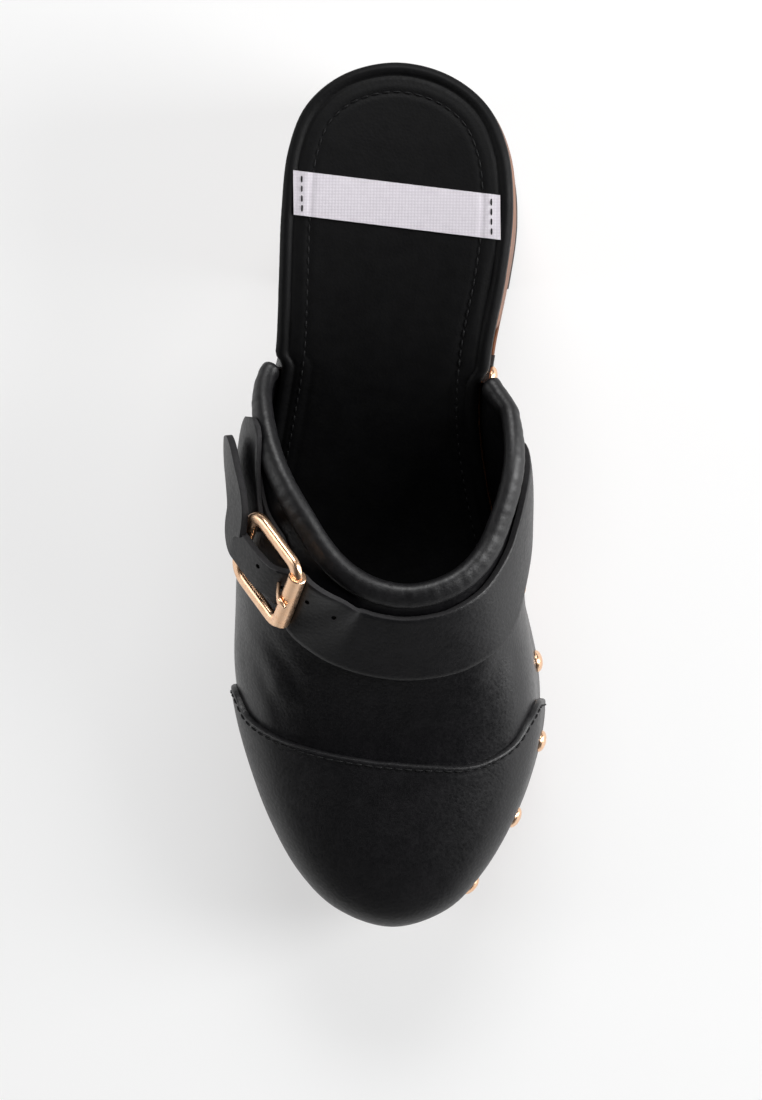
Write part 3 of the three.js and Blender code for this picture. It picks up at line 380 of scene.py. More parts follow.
def gridFaces(rows, cols, offset=0, closed=False, flip=False):
    i, j = np.meshgrid(np.arange(rows - 1), np.arange(cols if closed else cols - 1), indexing="ij")
    n = (j + 1) % cols
    quads = [i * cols + j, i * cols + n, (i + 1) * cols + n, (i + 1) * cols + j]
    quads = np.stack(quads, axis=-1).reshape(-1, 4)
    return (quads[:, ::-1] if flip else quads) + offset


def tube(rings):
    rings = np.asarray(rings, float)
    count, around = rings.shape[:2]
    faces = gridFaces(count, around, closed=True).tolist()
    faces.append(list(range(around))[::-1])
    faces.append([(count - 1) * around + k for k in range(around)])
    return orient(rings.reshape(-1, 3), faces)


def orient(verts, faces):
    total = 0.0
    for f in faces:
        a = verts[f[0]]
        for k in range(1, len(f) - 1):
            total += np.dot(a, np.cross(verts[f[k]], verts[f[k + 1]]))
    if total < 0:
        faces = [list(f)[::-1] for f in faces]
    return verts, faces


def rimOf(rows, cols):
    rim = list(range(cols)) + [i * cols + cols - 1 for i in range(1, rows)]
    rim += [(rows - 1) * cols + j for j in range(cols - 2, -1, -1)]
    return rim + [i * cols for i in range(rows - 2, 0, -1)]


# Two grids of points and the rings of points between their rims
def closedSheets(top, bottom, walls=()):
    rows, cols = top.shape[:2]
    count = rows * cols
    rim = rimOf(rows, cols)
    n = len(rim)
    verts = np.vstack([top.reshape(-1, 3), bottom.reshape(-1, 3), *walls])
    faces = gridFaces(rows, cols).tolist() + gridFaces(rows, cols, count, flip=True).tolist()
    rings = [rim] + [list(range(2 * count + k * n, 2 * count + (k + 1) * n)) for k in range(len(walls))]
    rings.append([k + count for k in rim])
    for k in range(n):
        m = (k + 1) % n
        faces += [[a[k], b[k], b[m], a[m]] for a, b in zip(rings, rings[1:])]
    return orient(verts, faces)


def joinParts(parts):
    verts, faces = np.zeros((0, 3)), []
    for points, polygons in parts:
        faces += [[k + len(verts) for k in f] for f in polygons]
        verts = np.vstack([verts, points])
    return verts, faces


# Materials: a Wire is a socket one can reckon with, a Board is one material's nodes
class Wire:
    def __init__(self, board, socket):
        self.board, self.socket = board, socket

    def maths(self, kind, other):
        return self.board.node("ShaderNodeMath", {"operation": kind}, {0: self, 1: other})

    def __add__(self, other):
        return self.maths("ADD", other)

    def __sub__(self, other):
        return self.maths("SUBTRACT", other)

    def __mul__(self, other):
        return self.maths("MULTIPLY", other)


class Board:
    def __init__(self, name, constants):
        self.material = bpy.data.materials.new(name)
        self.material.use_nodes = True
        self.tree = self.material.node_tree
        self.shader = self.tree.nodes["Principled BSDF"]
        for key, value in constants.items():
            self.shader.inputs[key].default_value = value
        self.place = self.node("ShaderNodeTexCoord", out="Object")

    def put(self, socket, value):
        if isinstance(value, Wire):
            self.tree.links.new(value.socket, socket)
        else:
            socket.default_value = value

    def node(self, kind, settings=None, values=None, out=0):
        made = self.tree.nodes.new(kind)
        for key, value in (settings or {}).items():
            setattr(made, key, value)
        for key, value in (values or {}).items():
            self.put(made.inputs[key], value)
        return Wire(self, made.outputs[out])

    def drive(self, key, value):
        self.put(self.shader.inputs[key], value)

    def noise(self, scale, detail=3.0, rough=0.55, vector=None, distort=0.0):
        return self.node("ShaderNodeTexNoise", {}, {
            "Vector": vector or self.place, "Scale": scale, "Detail": detail, "Roughness": rough,
            "Distortion": distort})
    def cells(self, scale, kind):
        return self.node("ShaderNodeTexVoronoi", {"feature": kind}, {"Vector": self.place, "Scale": scale})

    def stretched(self, scale):
        return self.node("ShaderNodeMapping", {}, {"Vector": self.place, "Scale": scale})

    def span(self, value, a, b, c=0.0, d=1.0):
        return self.node("ShaderNodeMapRange", {}, {
            "Value": value, "From Min": a, "From Max": b, "To Min": c, "To Max": d})

    def tint(self, share, a, b):
        return self.node("ShaderNodeMix", {"data_type": "RGBA"}, {0: share, 6: a, 7: b}, out=2)

    def attribute(self, name):
        return self.node("ShaderNodeAttribute", {"attribute_name": name}, out="Fac")
    def bump(self, height, strength, distance):
        values = {"Height": height, "Strength": strength, "Distance": distance}
        return self.node("ShaderNodeBump", {}, values)


def rgb(r, g, b):
    def linear(c):
        c /= 255
        return c / 12.92 if c <= 0.04045 else ((c + 0.055) / 1.055) ** 2.4
    return (linear(r), linear(g), linear(b), 1.0)


leatherLook = {
    "dark": rgb(6, 6, 8), "light": rgb(12, 11, 14), "rawDark": rgb(16, 15, 17), "rawLight": rgb(30, 29, 31),
    "grainScale": 1050.0, "grainDepth": 0.00018, "grainStrength": 0.45, "roughness": 0.34, "shine": 0.5,
}


def leather(name, raw=False, grain=1.0, **changed):
    look = {**leatherLook, **changed}
    board = Board(name, {"Specular IOR Level": look["shine"]})
    pebble = board.cells(look["grainScale"] * grain, "SMOOTH_F1")
    fine = board.noise(look["grainScale"] * 2.6 * grain, 4.0, 0.6)
    broad = board.noise(55.0, 3.0, 0.5)
    wander = board.noise(210.0, 4.0, 0.6)
    colour = board.tint(board.span(wander * 0.6 + broad * 0.4, 0.36, 0.66), look["dark"], look["light"])
    base = look["roughness"]
    gloss = board.span(wander * 0.5 + pebble * 0.5, 0.2, 0.75, base - 0.05, base + 0.11)
    height = pebble * 0.75 + fine * 0.35 + wander * 0.55
    normal = board.bump(height, look["grainStrength"], look["grainDepth"])
    if raw:
        fibre = board.noise(2600.0, 3.0, 0.7)
        cut = board.tint(board.span(fibre, 0.3, 0.7), look["rawDark"], look["rawLight"])
        share = board.span(board.attribute("rawEdge"), 0.45, 0.75)
        colour = board.tint(share, colour, cut)
        gloss = board.span(share, 0.0, 1.0, 0.0, 0.42) + gloss
    board.drive("Base Color", colour)
    board.drive("Roughness", gloss)
    board.drive("Normal", normal)
    return board.material


goldLook = {"dark": rgb(240, 194, 156), "light": rgb(252, 214, 180), "smoothest": 0.22, "roughest": 0.36}
woodLook = {"dark": rgb(78, 44, 26), "light": rgb(139, 88, 54), "pore": rgb(52, 29, 17)}
rubberLook = {"dark": rgb(24, 23, 23), "light": rgb(36, 34, 33)}
ribbonLook = {"dark": rgb(196, 190, 198), "light": rgb(229, 225, 231), "pitch": 0.00042}
threadLook = {"dark": rgb(11, 11, 12), "lighter": 1.5}


def goldFinish(name, look):
    board = Board(name, {"Metallic": 1.0, "Specular IOR Level": 0.5})
    haze = board.noise(420.0, 4.0, 0.6)
    marks = board.noise(1.0, 5.0, 0.7, board.stretched((2600.0, 260.0, 900.0)))
    board.drive("Base Color", board.tint(board.span(haze, 0.35, 0.7), look["dark"], look["light"]))
    gloss = board.span(haze * 0.6 + marks * 0.4, 0.3, 0.7, look["smoothest"], look["roughest"])
    board.drive("Roughness", gloss)
    board.drive("Normal", board.bump(marks + haze * 0.5, 0.08, 0.00005))
    return board.material


def woodFinish(name, look):
    board = Board(name, {"Specular IOR Level": 0.42, "Coat Roughness": 0.35})
    rings = board.noise(1.0, 3.0, 0.5, board.stretched((95.0, 11.0, 120.0)), 0.6)
    fibre = board.noise(1.0, 5.0, 0.65, board.stretched((900.0, 38.0, 1100.0)))
    pores = board.noise(1.0, 3.0, 0.5, board.stretched((1500.0, 90.0, 1500.0)))
    colour = board.tint(board.span(rings * 0.62 + fibre * 0.38, 0.34, 0.66), look["dark"], look["light"])
    colour = board.tint(board.span(pores, 0.60, 0.72, 0.0, 0.55), colour, look["pore"])
    board.drive("Base Color", colour)
    board.drive("Roughness", board.span(fibre, 0.3, 0.7, 0.42, 0.58))
    board.drive("Normal", board.bump(fibre * 0.6 - pores * 0.4, 0.25, 0.0002))
    return board.material


def rubberFinish(name, look):
    board = Board(name, {"Specular IOR Level": 0.4})
    speck = board.noise(1500.0, 3.0, 0.6)
    board.drive("Base Color", board.tint(board.noise(60.0), look["dark"], look["light"]))
    board.drive("Roughness", board.span(speck, 0.3, 0.7, 0.68, 0.85))
    board.drive("Normal", board.bump(speck, 0.3, 0.0001))
    return board.material


def ribbonFinish(name, look):
    board = Board(name, {"Specular IOR Level": 0.35, "Sheen Weight": 0.3, "Sheen Roughness": 0.4})
    scale = 0.3183 / look["pitch"]
    across, along = (
        board.node("ShaderNodeTexWave", {"bands_direction": way, "wave_profile": "SIN"},
                   {"Vector": board.place, "Scale": scale, "Distortion": 0.6, "Detail": 1.0})
        for way in "YX")
    weave = across * along
    fuzz = board.noise(700.0, 3.0, 0.6)
    # Painted highlight and shade: the weave's crests are painted lighter and its hollows darker; the fuzz
    # adds random fibre tone
    weaveShadeAndFuzz = board.span(weave * 0.7 + fuzz * 0.3, 0.1, 0.7)
    board.drive("Base Color", board.tint(weaveShadeAndFuzz, look["dark"], look["light"]))
    board.drive("Roughness", board.span(fuzz, 0.3, 0.7, 0.55, 0.75))
    board.drive("Normal", board.bump(weave, 0.5, 0.00012))
    return board.material


def threadFinish(name, look):
    board = Board(name, {"Specular IOR Level": 0.2})
    twist = board.noise(1.0, 2.0, 0.5, board.stretched((5200.0, 5200.0, 5200.0)))
    light = tuple(min(1, c * look["lighter"]) for c in look["dark"])
    board.drive("Base Color", board.tint(board.span(twist, 0.3, 0.7), look["dark"], light))
    board.drive("Roughness", board.span(twist, 0.3, 0.7, 0.45, 0.7))
    board.drive("Normal", board.bump(twist, 0.4, 0.0001))
    return board.material


upperLeather = leather("upperLeather")
capLeather = leather("capLeather", roughness=0.41)
collarLeather = leather("collarLeather", grain=1.15, roughness=0.46, grainStrength=0.36)
strapLeather = leather("strapLeather", raw=True, roughness=0.42)
sockLeather = leather("sockLeather", grain=1.3, roughness=0.56, grainStrength=0.3,
                      dark=rgb(5, 5, 6), light=rgb(9, 9, 10), shine=0.16)
gold = goldFinish("roseGold", goldLook)
wood = woodFinish("soleWood", woodLook)
rubber = rubberFinish("treadRubber", rubberLook)
ribbon = ribbonFinish("wovenRibbon", ribbonLook)
blackThread = threadFinish("blackThread", threadLook)
print("materials made")


# Listed creases: from x, y, to x, y, rise, half width, all in millimetres
def dents(x, y, rows):
    total = np.zeros_like(x)
    for ax, ay, bx, by, rise, wide in rows:
        dx, dy = bx - ax, by - ay
        share = ((x - ax) * dx + (y - ay) * dy) / (dx * dx + dy * dy)
        held = np.clip(share, 0, 1)
        away = np.hypot(x - ax - held * dx, y - ay - held * dy)
        ends = np.sin(math.pi * np.clip(0.08 + 0.84 * held, 0, 1)) ** 0.7
        total += rise * np.exp(-(away / wide) ** 2) * ends
    return total


upperCreases = [
    (-34.3, -40, -23.6, -57, -0.35, 2.4), (-39.4, -44.5, -30.8, -64.5, -0.30, 2.2),
    (36.5, -40, 29, -58, -0.32, 2.6), (-14, -47, 12, -50, -0.16, 3.2), (-31, -49, -36, -66, 0.22, 3.0),
    (39, -48, 37, -68, 0.20, 3.0), (-44, -30, -41, -52, -0.22, 2.0), (41, -20, 40, -36, -0.22, 2.4)]
insoleCreases = [
    (32.5, 68, 27.8, 46.5, -0.45, 1.1), (22.4, 69.4, 14.2, 28.1, 0.30, 3.6), (-23, 74, -19, 40, 0.16, 4.5),
    (26.5, 58, 20.5, 36, -0.22, 1.4), (-12, 30, 8, 27, -0.14, 2.2), (-27.5, 52, -25.5, 38, -0.25, 1.2)]
# Upper: outer and inner skins between the wings' back edges, cut away under the collar
upperShape = {"alongCells": 150, "climbCells": 84, "liningThickness": 2.0, "tuck": 2.2}


def wingY(z, side):
    top, foot = (float(yAt(at)) for at in wingTips[side])
    zTop = float(featherZ(top)) - 2
    zFoot = float(featherZ(foot)) - margin - 2
    return np.where(z >= zTop, top, lerp(foot, top, np.clip((z - zFoot) / (zTop - zFoot), 0, 1)))


def wingEdge(q, side):
    y = np.full_like(q, float(yAt(wingTips[side][0])))
    for _ in range(12):
        u = (yBack - y) / (yBack - yToe) * sideShare
        z = upperPoint(u if side < 0 else 1 - u, q)[..., 2]
        y = 0.5 * y + 0.5 * wingY(z, side)
    return (yBack - y) / (yBack - yToe) * sideShare


openingCurve = curveThrough(rough(opening))
frameCount = 38
collarLine = ontoUpper(openingCurve(np.linspace(0, 1, frameCount)))


def framesAlong(line):
    points = line["point"]
    before = np.vstack([points[:1], points[:-1]])
    after = np.vstack([points[1:], points[-1:]])
    along = unit(after - before)
    return along, unit(np.cross(along, line["normal"]))


collarAway = framesAlong(collarLine)[1]
fineLine = ontoUpper(evenly(openingCurve, 300))
wider = np.pad(fineLine["point"], ((3, 3), (0, 0)), mode="reflect", reflect_type="odd")
fineLine["point"] = np.column_stack([np.convolve(wider[:, k], np.ones(7) / 7, "valid") for k in range(3)])
fineLine = ontoUpper(fineLine["point"])
fineAlong, fineAway = framesAlong(fineLine)
lineTree = treeOf(fineLine["point"])


def pastOpening(points):
    flat = points.reshape(-1, 3)
    hits = np.array([lineTree.find(p)[1] for p in flat])
    side = ((flat - fineLine["point"][hits]) * fineAway[hits]).sum(1)
    return side.reshape(points.shape[:-1])


climb = np.concatenate([
    np.linspace(0, lowShare, 31), np.linspace(lowShare, 1, upperShape["climbCells"] - 30)[1:]])
run = np.linspace(0, 1, upperShape["alongCells"] + 1)
lateral, medial = wingEdge(climb, -1), wingEdge(climb, 1)
joined = smooth((climb - 0.8) / 0.2) * 0.5
lateral, medial = lerp(lateral, medial, joined), lerp(medial, lateral, joined)
uGrid = np.concatenate([
    lerp(lateral[None, :], 0.5, run[:, None]),
    (1 - lerp(medial[None, :], 0.5, run[::-1][1:, None]))])
qGrid = np.broadcast_to(climb, uGrid.shape)


def skinAt(u, q, offset):
    normal = upperNormal(u, q)
    atRidge = (q >= 0.9999)[..., None]
    ridgeNormal = unit((normal + upperNormal(1 - u, q)) * np.array([0.0, 1.0, 1.0]))
    return upperPoint(u, q) + np.where(atRidge, ridgeNormal, normal) * offset


outerSkin = skinAt(uGrid, qGrid, 0.0)
innerSkin = skinAt(uGrid, qGrid, -upperShape["liningThickness"])
creased = dents(outerSkin[..., 0], outerSkin[..., 1], upperCreases) * smooth((qGrid - lowShare) / 0.12)
outerSkin = outerSkin + creased[..., None] * (skinAt(uGrid, qGrid, 1.0) - skinAt(uGrid, qGrid, 0.0))
past = pastOpening(outerSkin)
rows, cols = uGrid.shape
quads = gridFaces(rows, cols)
kept = quads[(past.reshape(-1)[quads] > upperShape["tuck"]).all(axis=1)]


def ridgeIds(qs):
    return np.nonzero(qs.reshape(-1) > 0.9999)[0].tolist()


def shellMesh(outside, inside, keptQuads, ridge):
    count = len(outside)
    target = np.arange(count)
    for i, k in enumerate(ridge):  # both halves share the points along the ridge
        near = [j for j in ridge[:i] if np.sum((outside[j] - outside[k]) ** 2) < 0.0009]
        target[k] = target[near[0]] if near else k
    tidy = []
    for f in target[keptQuads].tolist():
        f = [k for n, k in enumerate(f) if k != f[n - 1]]
        if len(f) > 2:
            tidy.append(f)
    keptQuads = tidy
    faces = keptQuads + [[k + count for k in f[::-1]] for f in keptQuads]
    edges = {}
    for f in keptQuads:
        for a, b in zip(f, f[1:] + f[:1]):
            if (b, a) in edges:
                del edges[(b, a)]
            else:
                edges[(a, b)] = True
    for a, b in edges:
        faces.append([b, a, a + count, b + count])
    verts = np.vstack([outside, inside])
    used = np.unique(np.concatenate([np.ravel(f) for f in faces]))
    renumber = -np.ones(len(verts), int)
    renumber[used] = np.arange(len(used))
    return verts[used], [[int(renumber[k]) for k in f] for f in faces]


upperBody = orient(*shellMesh(outerSkin.reshape(-1, 3), innerSkin.reshape(-1, 3), kept, ridgeIds(qGrid)))
makePiece("upper_leather", upperBody, upperLeather, ["upper"])
print("upper made", len(upperBody[1]))

# Collar: a padded roll beside the opening; the stitching of its skin on the outer side is not drawn
collarShape = {"width": 7.5, "thickness": 5.4, "around": 26, "endRings": 5, "puff": 0.12, "fill": 0.8}


def collarRings():
    rings = []
    points, normals = fineLine["point"], fineLine["normal"]
    halfWide, halfThick = collarShape["width"] / 2, collarShape["thickness"] / 2
    angles = turn(collarShape["around"])
    wide = squared(np.cos(angles), 0.86) * halfWide
    thick = squared(np.sin(angles), 0.9) * halfThick
    for i in range(len(points)):
        centre = points[i] + fineAway[i] * halfWide - normals[i] * last["wall"] / 2
        ripple = 1 + collarShape["puff"] * 0.25 * math.sin(i * 0.9) * math.sin(i * 0.23)
        rings.append(centre + np.outer(wide, fineAway[i]) + np.outer(thick * ripple, normals[i]))
    ends = []
    for side, ring, along in ((-1, rings[0], fineAlong[0]), (1, rings[-1], fineAlong[-1])):
        centre = ring.mean(axis=0)
        caps = []
        for k in range(1, collarShape["endRings"] + 1):
            a = k / collarShape["endRings"] * math.pi / 2 * 0.96
            caps.append(centre + (ring - centre) * math.cos(a) + along * side * math.sin(a) * halfThick * 0.7)
        ends.append(caps)
    return ends[0][::-1] + rings + ends[1]


collarBody = tube(collarRings())
collarRoll = makePiece("collar_roll", collarBody, collarLeather, ["collar"], sharp=60)
print("collar made")

# Toe cap: its own skin over the toe, with a thick rolled back edge
capShape = {"lift": 0.25, "thickness": 1.5, "alongCells": 130, "climbCells": 78}
capFront = evenly(curveThrough(np.column_stack([ball * capEdge[:, 1], yAt(capEdge[:, 0])])), 400)


def capLine(x):
    order = np.argsort(capFront[:, 0])
    return np.interp(x, capFront[order, 0], capFront[order, 1])


capQ = np.concatenate([
    np.linspace(0, lowShare, 29), np.linspace(lowShare, 1, capShape["climbCells"] - 28)[1:]])


def capBack(q, side):
    u = np.full_like(q, 0.25)
    for _ in range(40):
        p = upperPoint(u if side < 0 else 1 - u, q)
        y = 0.5 * (lerp(yBack, yToe, u / sideShare)) + 0.5 * capLine(p[..., 0])
        u = np.clip((yBack - y) / (yBack - yToe) * sideShare, 0, sideShare)
    return u


capRun = np.concatenate([[0, 0.004, 0.010, 0.018], np.linspace(0.03, 1, capShape["alongCells"] // 2 + 8)])
backs = [capBack(capQ, side) for side in (-1, 1)]
joined = smooth((capQ - 0.97) / 0.03) * 0.5
backs = [lerp(backs[0], backs[1], joined), lerp(backs[1], backs[0], joined)]
uCap = np.concatenate([
    lerp(backs[0][None, :], 0.5, capRun[:, None]),
    1 - lerp(backs[1][None, :], 0.5, capRun[::-1][1:, None])])
qCap = np.broadcast_to(capQ, uCap.shape)
fromBack = np.concatenate([capRun, capRun[::-1][1:]])
edgeLift = np.interp(fromBack, [0, 0.004, 0.010, 0.018, 0.03, 0.045], [0.55, 0.9, 1.0, 1.0, 0.93, 1.0])
topOffset = capShape["lift"] + capShape["thickness"] * edgeLift
hemShare = np.interp(capQ, [0, 0.012, 0.03], [0.35, 0.8, 1.0])
capTop = skinAt(uCap, qCap, 0.0)
capNormal = skinAt(uCap, qCap, 1.0) - capTop
capOut = capTop + capNormal * (topOffset[:, None] * hemShare[None, :])[..., None]
capIn = capTop + capNormal * capShape["lift"] * 0.4
capBody = shellMesh(capOut.reshape(-1, 3), capIn.reshape(-1, 3), gridFaces(*uCap.shape), ridgeIds(qCap))
capBody = orient(*capBody)
makePiece("toe_cap_leather", capBody, capLeather, ["toe_cap"])
print("toe cap made", len(capBody[1]))

# Strap, chape and tab: the first rows hug the upper, the rest run free through the buckle
bandShape = {"columns": 19, "edge": 0.35, "crown": 0.10}


def band(stops, width, thickness):
    centre, normal, held = stops["centre"], stops["normal"], stops["held"]
    count, edge = len(centre), bandShape["edge"]
    row = np.arange(count)
    along = unit(centre[np.minimum(row + 1, count - 1)] - centre[np.maximum(row - 1, 0)])
    side = np.cross(normal, along) + stops.get("side", 0)
    side = unit(side - along * (side * along).sum(-1, keepdims=True))
    up = unit(np.cross(along, side))
    inset = edge / (width / 2)
    t = np.concatenate([[-1], np.linspace(-1 + inset, 1 - inset, bandShape["columns"]), [1]])
    half = width / 2 * stops["narrow"]
    low = centre[:, None, :] + side[:, None, :] * (half[:, None] * t[None, :])[..., None]
    ups = np.repeat(up[:, None, :], len(t), axis=1)
    on = ontoUpper((low[:held] - (normal[:held] * stops["lift"][:, None])[:, None, :]).reshape(-1, 3))
    low[:held] = above(on, np.repeat(stops["lift"], len(t))).reshape(held, len(t), 3)
    ups[:held] = on["normal"].reshape(held, len(t), 3)
    if "soften" in stops:  # the strap turns gently where it leaves the upper
        first, final, near = stops["soften"]
        kernel = np.hanning(2 * near + 3)[1:-1]
        kernel /= kernel.sum()
        share = (smooth((row - first) / 8) * smooth((final - row) / 8))[:, None, None]
        for field in (low, ups):
            wider = np.pad(field, ((near, near), (0, 0), (0, 0)), mode="reflect", reflect_type="odd")
            mean = sum(w * wider[k:k + count] for k, w in enumerate(kernel))
            field[:] = field * (1 - share) + mean * share
        ups = unit(ups)
    topLift, lowLift = np.full(len(t), thickness), np.zeros(len(t))
    topLift[[0, -1]] -= edge * 0.7
    lowLift[[0, -1]] = edge * 0.5
    top = low + ups * (topLift + bandShape["crown"] * (1 - t ** 2))[None, :, None]
    raw = np.zeros((count, len(t)))
    raw[:, [0, -1]] = 1
    raw[[0, -1], :] = 1
    body = closedSheets(top, low + ups * lowLift[None, :, None])
    grid = {"top": top, "up": up, "along": along, "side": side}
    return body, {"rawEdge": np.tile(raw.reshape(-1), 2)}, grid


def hugging(rows, lift, narrowAt, narrow, count=70):
    on = ontoUpper(evenly(curveThrough(rough(rows)), count))
    return {"centre": above(on, lift), "normal": on["normal"], "lift": np.full(count, lift), "held": count,
            "narrow": np.interp(np.linspace(0, 1, count), narrowAt, narrow)}


strapShape = {
    "width": 21.0, "tipShare": 0.54, "thickness": 2.0, "lift": 0.35, "gapToCollar": 2.3, "heldRows": 150,
    "drop": 3.0, "bend": 5.2, "tipStart": 0.93, "taperFrom": 0.08, "taperOver": 0.42,
    "foot": [(0.456, 0.352, 0.05), (0.472, 0.425, 0.26)], "soften": (134, 240, 7),
    "holes": [(146, 6), (158, 7), (182, 9), (198, 6)], "holeRadius": 0.75, "holeSides": 20,
}
buckleShape = {
    "inner": 19.5, "bar": 2.6, "thickness": 2.2, "rollerRadius": 2.1, "tab": 1.4, "chape": 1.7,
    "chapeWidth": 14.0, "tabExtra": 1.5, "gap": 0.3, "tilt": 10.0, "slack": 2.0,
    "corner": 4.6, "frameWide": 1.55, "frameDeep": 1.2, "pinShare": 0.34,
}
# along, across, height
chapeRun = [(0.410, -0.385, 0.40), (0.462, -0.408, 0.55), (0.505, -0.412, 0.64), (0.538, -0.400, 0.70)]
tabRun = [(0.462, -0.425, 0.44), (0.530, -0.412, 0.64), (0.570, -0.362, 0.77), (0.594, -0.310, 0.84)]
# along, across, height, lift
tipRun = np.array([(0.512, -0.385, 0.70, 6.8), (0.475, -0.412, 0.60, 6.2), (0.433, -0.436, 0.43, 6.8)])
gap = buckleShape["gap"]


def turned(v, axis, angle):
    across = axis * np.dot(axis, v) * (1 - math.cos(angle))
    return v * math.cos(angle) + np.cross(axis, v) * math.sin(angle) + across


tabLift = gap
chapeLift = tabLift + buckleShape["tab"] + gap
barSeat = ontoUpper(rough((0.5483, -0.397, 0.735)))
rollerSeat = ontoUpper(rough((0.6051, -0.2561, 0.908)))
barLift = chapeLift + buckleShape["chape"] + gap + buckleShape["thickness"] / 2
rollerLift = tabLift + buckleShape["tab"] + 7.5 * gap + strapShape["thickness"] + buckleShape["rollerRadius"]
rollerAt = buckleShape["inner"] + buckleShape["bar"] / 2 + buckleShape["rollerRadius"]
buckleOrigin = above(barSeat, barLift)[0]
runAxis = unit(above(rollerSeat, rollerLift)[0] - buckleOrigin)
faceAxis = barSeat["normal"][0] + rollerSeat["normal"][0]
faceAxis = unit(faceAxis - runAxis * np.dot(faceAxis, runAxis))
tilt = math.radians(buckleShape["tilt"])
faceAxis = turned(faceAxis, runAxis, tilt)
wideAxis = unit(np.cross(faceAxis, runAxis))


def inBuckle(x, y, z):
    x, y, z = (np.asarray(v, float)[..., None] for v in np.broadcast_arrays(x, y, z))
    return buckleOrigin + runAxis * x + wideAxis * y + faceAxis * z


def walk(start, normal, direction, distance, steps=5):
    here, heading = start.copy(), direction.copy()
    for _ in range(steps):
        heading = unit(heading - normal * (heading * normal).sum(-1, keepdims=True))
        on = ontoUpper(here + heading * (distance / steps))
        here, normal = on["point"], on["normal"]
    return here


strapOverBar = buckleShape["thickness"] / 2 + 2 * gap
strapUnderRoller = -buckleShape["rollerRadius"] - 3 * gap - strapShape["thickness"]
dip = np.array([
    (rollerAt + 1.5, strapUnderRoller), (rollerAt - 1.5, strapUnderRoller),
    (rollerAt - 4.5, strapUnderRoller + 1.3), (rollerAt - 8, strapUnderRoller * 0.2),
    (rollerAt - 11.5, strapOverBar * 0.5), (0, strapOverBar), (-2, strapOverBar)])
picks = np.round(np.linspace(0.76, 0.44, 8) * (frameCount - 1)).astype(int)
beside = walk(collarLine["point"][picks], collarLine["normal"][picks], collarAway[picks],
              collarShape["width"] + strapShape["gapToCollar"] + strapShape["width"] / 2)
strapBend = rollerAt + strapShape["bend"] * buckleShape["rollerRadius"]
rollerFoot = ontoUpper(inBuckle(strapBend, -strapShape["drop"], 0))["point"]
strapLine = curveThrough(np.vstack([ontoUpper(rough(strapShape["foot"]))["point"], beside, rollerFoot]))
heldRows = strapShape["heldRows"]
strapSeat = ontoUpper(evenly(strapLine, heldRows))
nearRoller = smooth(np.linalg.norm(strapSeat["point"] - rollerFoot, axis=1) / 12)
onLift = lerp(rollerLift + strapUnderRoller, strapShape["lift"], nearRoller)
onCentres = above(strapSeat, onLift)
tipSeat = ontoUpper(rough(tipRun[:, :3]))
tipNormals = np.array([turned(n, runAxis, tilt) for n in tipSeat["normal"]])
offCentres = np.vstack([
    onCentres[-1:],
    inBuckle(dip[:, 0], -strapShape["drop"] * np.maximum(dip[:, 0], 0) / strapBend, dip[:, 1]),
    above(tipSeat, tipRun[:, 3])])
tipAlong = np.gradient(offCentres, axis=0)[-len(tipRun):]
onSide = np.cross(strapSeat["normal"][-1:], strapSeat["point"][-1:] - strapSeat["point"][-3:-2])
offSides = np.vstack([
    unit(onSide), np.repeat(-wideAxis[None, :], len(dip), 0), unit(np.cross(tipNormals, tipAlong))])
tipStart = strapShape["tipStart"]
offT = np.concatenate([
    np.linspace(0, tipStart, 90)[1:],
    tipStart + (1 - tipStart) * np.sin(np.linspace(0, math.pi / 2, 14)[1:])])
intoTip = np.maximum(offT - tipStart, 0) / (1 - tipStart + 0.0012)
pointed = np.sqrt(np.maximum(1 - intoTip ** 2, 0))
taper = smooth((offT - strapShape["taperFrom"]) / strapShape["taperOver"])
strapStops = {
    "centre": np.vstack([onCentres, curveThrough(offCentres)(offT)]),
    "normal": np.vstack([strapSeat["normal"], np.zeros((len(offT), 3))]),
    "side": np.vstack([np.zeros((heldRows, 3)), unit(curveThrough(offSides)(offT))]),
    "narrow": np.concatenate([np.ones(heldRows), pointed * lerp(1, strapShape["tipShare"], taper)]),
    "lift": onLift, "held": heldRows, "soften": strapShape["soften"],
}


# Holes are punched at rows and columns of the strap's own grid
def punched(body, fields, grid):
    turns = turn(strapShape["holeSides"])
    pins = []
    for row, col in strapShape["holes"]:
        circle = np.outer(np.cos(turns), grid["along"][row]) + np.outer(np.sin(turns), grid["side"][row])
        pins.append(tube([
            grid["top"][row, col] + grid["up"][row] * h + strapShape["holeRadius"] * circle
            for h in (-strapShape["thickness"] - 1.0, 1.0)]))
    pinVerts, pinFaces = joinParts(pins)
    strap = newObject("strapBody", newMesh("strapBody", place(body[0]), body[1], fields))
    pin = newObject("strapPunch", newMesh("strapPunch", place(pinVerts), pinFaces))
    cutter = strap.modifiers.new("punch", "BOOLEAN")
    cutter.operation, cutter.solver, cutter.object = "DIFFERENCE", "EXACT", pin
    return baked("strap_leather", strap, pin)


strapMesh = punched(*band(strapStops, strapShape["width"], strapShape["thickness"]))
settle("strap_leather", strapMesh, strapLeather, ["strap"], sharp=50)
chapeStops = hugging(chapeRun, chapeLift, [0, 0.03, 0.08, 0.16, 0.26], [0.3, 0.55, 0.8, 0.95, 1.0])
body, fields, _ = band(chapeStops, buckleShape["chapeWidth"], buckleShape["chape"])
makePiece("chape_leather", body, strapLeather, ["chape"], fields, 50)
tabStops = hugging(tabRun, tabLift, [0, 0.03, 0.08, 0.16, 0.78, 0.9, 1.0],
                   [0.62, 0.8, 0.94, 1.0, 1.0, 0.86, 0.6])
body, fields, _ = band(tabStops, strapShape["width"] + buckleShape["tabExtra"], buckleShape["tab"])
makePiece("tab_leather", body, strapLeather, ["buckle_tab"], fields, 50)
print("strap, chape and tab made, strap's faces", len(strapMesh.polygons))

rollerLength = strapShape["width"] + buckleShape["slack"] - 2


